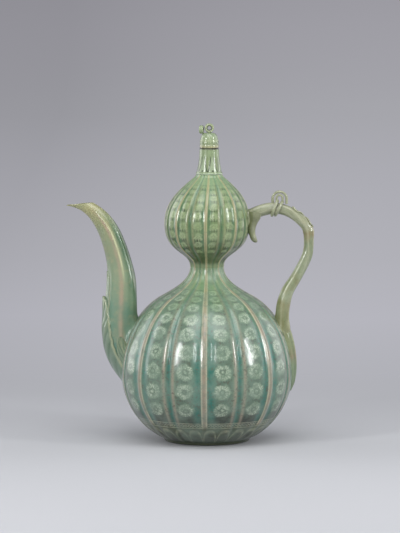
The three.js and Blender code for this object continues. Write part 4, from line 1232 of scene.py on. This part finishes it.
def makePlug():
    # The tenon below the cap, narrowing to a rounded end
    top = stopper["seatZ"] - 0.02
    radius = stopper["plugRadius"]
    low = top - stopper["plugLength"] - 0.28
    profile = [[2, top], [5, top], [radius, top], [radius, top - 0.5], [radius - 0.3, top - 5],
               [radius - 0.7, low + 0.9], [radius - 1.2, low + 0.2], [radius - 2, low], [2, low]]
    addPiece("lid_plug_skin", turnedRows(profile, 64), clay, "lid", "lid_plug")


def makeLidLoop(node, radius, x, turn, seatZ):
    # A strap rolled into a ring: round the ring by one angle, round the strap by the other,
    # wider at its edges than in the middle, and flattened where it is pressed on the cap
    strap, depth = stopper["loopStrap"] / 2 + stopper["loopInward"] / 2, stopper["loopDepth"] / 2
    outside = radius + stopper["loopStrap"] / 2
    radius = outside - strap
    around = np.arange(72)[:, None] / 72 * tau
    section = np.arange(28)[None, :] / 28 * tau
    thick = strap * np.sign(np.cos(section)) * np.abs(np.cos(section)) ** 0.8
    wide = depth * np.sign(np.sin(section)) * np.abs(np.sin(section)) ** 0.8
    thick = thick * (1 - 0.18 * np.cos(section) * (1 - np.abs(np.sin(section)) ** 2))
    out = radius + thick * (1 + 0.05 * np.sin(around * 3))
    flatX, flatZ = out * np.cos(around), out * np.sin(around)
    cos, sin = math.cos(math.radians(turn)), math.sin(math.radians(turn))
    middleZ = seatZ - stopper["loopSink"] + outside
    z = np.maximum(flatZ + middleZ, seatZ - 0.6)
    x += gourd["neckLean"]
    rows = np.stack([x + flatX * cos - wide * sin, flatX * sin + wide * cos, z], axis=-1)
    # painted shade: the ring's inner face is darkened in the pooled colour; its edges are pale where the
    # glaze is thin
    edge, inside = smooth(np.abs(np.sin(section)), 0.85, 1) * 0.5, smooth(-np.cos(section), -0.1, 0.6)
    marks = courseMarks(0.5 + 0 * around, inside, edge)
    addPiece(f"{node}_skin", rows, stopperGlaze, "lid", node, marks, joined=True)


makeCap()
makePlug()
makeLidLoop("lid_loop", 4.3, 0.1, 8, stopper["topZ"])
makeLidLoop("lid_side_loop", 3.8, -8.2, 84, stopper["topZ"] - 1.2)
print("stopper made")

# Floor and backdrop in one sweep, softboxes and a pale surround
stage = {
    "front": -14.0, "back": 6.5, "halfWidth": 14.0, "bend": 1.5, "top": 8.0, "paper": "#BEBFC2",
    "glowFrom": 0.02, "glowTo": 0.55,  # metres behind the ewer over which the backdrop shines by itself
    # the tones are painted shade: the backdrop darkens towards the top, and the dip at 0.055 is a painted
    # shadow behind the ewer
    "tones": [(0.0, "#B7B8BE"), (0.055, "#B0B1B7"), (0.184, "#B6B6BE"), (0.312, "#B1B1B8"),
              (0.533, "#ACACB3"), (0.846, "#A5A5AB"), (0.928, "#9F9EA5"), (1.0, "#95949B")],
    "surround": "#E6E8F2", "surroundPower": 0.42, "lampAim": 0.16,
    "toneFrom": 0.0, "toneTo": 6.17, "rim": "#6E6D74", "rimWidth": 0.36, "rimAmount": 0.3,
}


def makeSweep():
    # Floor, a quarter circle up to the wall, and the wall, one strip carried from side to
    # side. run is the way along it in metres, from under the ewer to the back.
    bend = stage["bend"]
    floorSteps, bendSteps, wallSteps, columns = 40, 24, 6, 9
    turn = np.linspace(0, math.pi / 2, bendSteps)[1:]
    floorEnd = stage["back"] - bend
    y = np.concatenate([np.linspace(stage["front"], floorEnd, floorSteps), floorEnd + bend * np.sin(turn),
                        [stage["back"]] * wallSteps])
    z = np.concatenate([np.zeros(floorSteps), bend * (1 - np.cos(turn)),
                        np.linspace(bend, stage["top"], wallSteps + 1)[1:]])
    run = stage["front"] + np.concatenate([[0], np.cumsum(np.hypot(np.diff(y), np.diff(z)))])
    x = np.linspace(-stage["halfWidth"], stage["halfWidth"], columns)
    grid = np.stack(np.broadcast_arrays(x[None, :], y[:, None], z[:, None]), axis=-1).reshape(-1, 3)
    row, column = np.meshgrid(np.arange(len(y) - 1), np.arange(columns - 1), indexing="ij")
    corner = (row * columns + column).ravel()
    faces = np.column_stack([corner, corner + 1, corner + columns + 1, corner + columns])
    marks = {"run": np.repeat(run, columns)[:, None]}
    addMesh("sweep", grid, faces.tolist(), marks, sweepPaper())


def sweepPaper():
    # Matt paper. Behind the ewer it shines with its own pale grey to the camera and to
    # reflections, with painted shade: darker towards the top and the sides, and a darker band
    # just behind the ewer as a painted shadow. Under the ewer it takes light and shadow.
    material, add = newMaterial("matt_paper_sweep", {
        "Base Color": hexColour(stage["paper"]), "Roughness": 0.95, "Specular IOR Level": 0.1,
    })
    run = add("Attribute", attribute_name="run").outputs["Fac"]
    high = add("MapRange", run, stage["toneFrom"], stage["toneTo"], 0.0, 1.0)
    ramp = add("ValToRGB", high)
    fillRamp(ramp, stage["tones"])
    # painted shade: the backdrop darkens towards both sides, more so higher up
    x = add("SeparateXYZ", add("TexCoord").outputs["Object"]).outputs["X"]
    away = add("Math MULTIPLY_ADD", run, 1 / camera["distance"], 1.0)
    wide = add("Math DIVIDE", x, add("Math MULTIPLY", away, stage["rimWidth"]))
    beside = add("Math SUBTRACT", wide, 0.1)
    rim = add("Math MULTIPLY", beside, beside, use_clamp=True)
    sideShadeShare = add("Math MULTIPLY", rim, add("MapRange", high, 0.11, 0.85, 0.12, stage["rimAmount"]))
    tone = paintOver(add, ramp, [(sideShadeShare, stage["rim"])])
    light = add("LightPath").outputs
    seen = add("Math ADD", light["Is Camera Ray"], light["Is Glossy Ray"], use_clamp=True)
    seen = add("Math ADD", seen, light["Is Transmission Ray"], use_clamp=True)
    glow = add("MapRange SMOOTHSTEP", run, stage["glowFrom"], stage["glowTo"], 0.0, 1.0)
    share = add("Math MULTIPLY", seen, glow)
    nodes = material.node_tree.nodes
    both = add("MixShader", share, nodes["Principled BSDF"], add("Emission", tone, 1.0))
    material.node_tree.links.new(both.outputs[0], nodes["Material Output"].inputs["Surface"])
    return material


lamps = {  # degrees round the ewer from straight in front, metres, watts
    "left": {"azimuth": -42, "distance": 1.3, "height": 0.62, "width": 0.12, "tall": 0.55, "power": 5.6},
    "right": {"azimuth": 64, "distance": 1.3, "height": 0.62, "width": 0.15, "tall": 0.6, "power": 6.6},
    "front": {"azimuth": 3, "distance": 1.25, "height": 0.72, "width": 0.07, "tall": 0.5, "power": 1.8},
    "top": {"azimuth": 6, "distance": 0.55, "height": 1.16, "width": 1.1, "tall": 0.8, "power": 7.0},
    "sideLeft": {"azimuth": -112, "distance": 1.5, "height": 0.6, "width": 1.2, "tall": 1.4, "power": 8.6},
    "sideRight": {"azimuth": 118, "distance": 1.5, "height": 0.6, "width": 1.2, "tall": 1.4, "power": 6.2},
}


def addLamp(name, lamp):
    # A softbox at an angle round the ewer from straight in front, facing its middle
    data = bpy.data.lights.new(name, "AREA")
    data.shape = "RECTANGLE"
    data.size, data.size_y, data.energy = lamp["width"], lamp["tall"], lamp["power"]
    azimuth, far = math.radians(lamp["azimuth"]), lamp["distance"]
    spot = Vector((axisX + math.sin(azimuth) * far, -math.cos(azimuth) * far, lamp["height"]))
    box = addObject(name, data)
    box.location = spot
    box.rotation_euler = (Vector((axisX, 0, stage["lampAim"])) - spot).to_track_quat("-Z", "Y").to_euler()


makeSweep()
for name, lamp in lamps.items():
    addLamp(f"softbox_{name}", lamp)
world = bpy.data.worlds.new("surround")
bpy.context.scene.world = world
world.use_nodes = True
background = world.node_tree.nodes["Background"].inputs
background["Color"].default_value = hexColour(stage["surround"])
background["Strength"].default_value = stage["surroundPower"]
bpy.context.scene.view_settings.view_transform = "Standard"
print("stage lit")
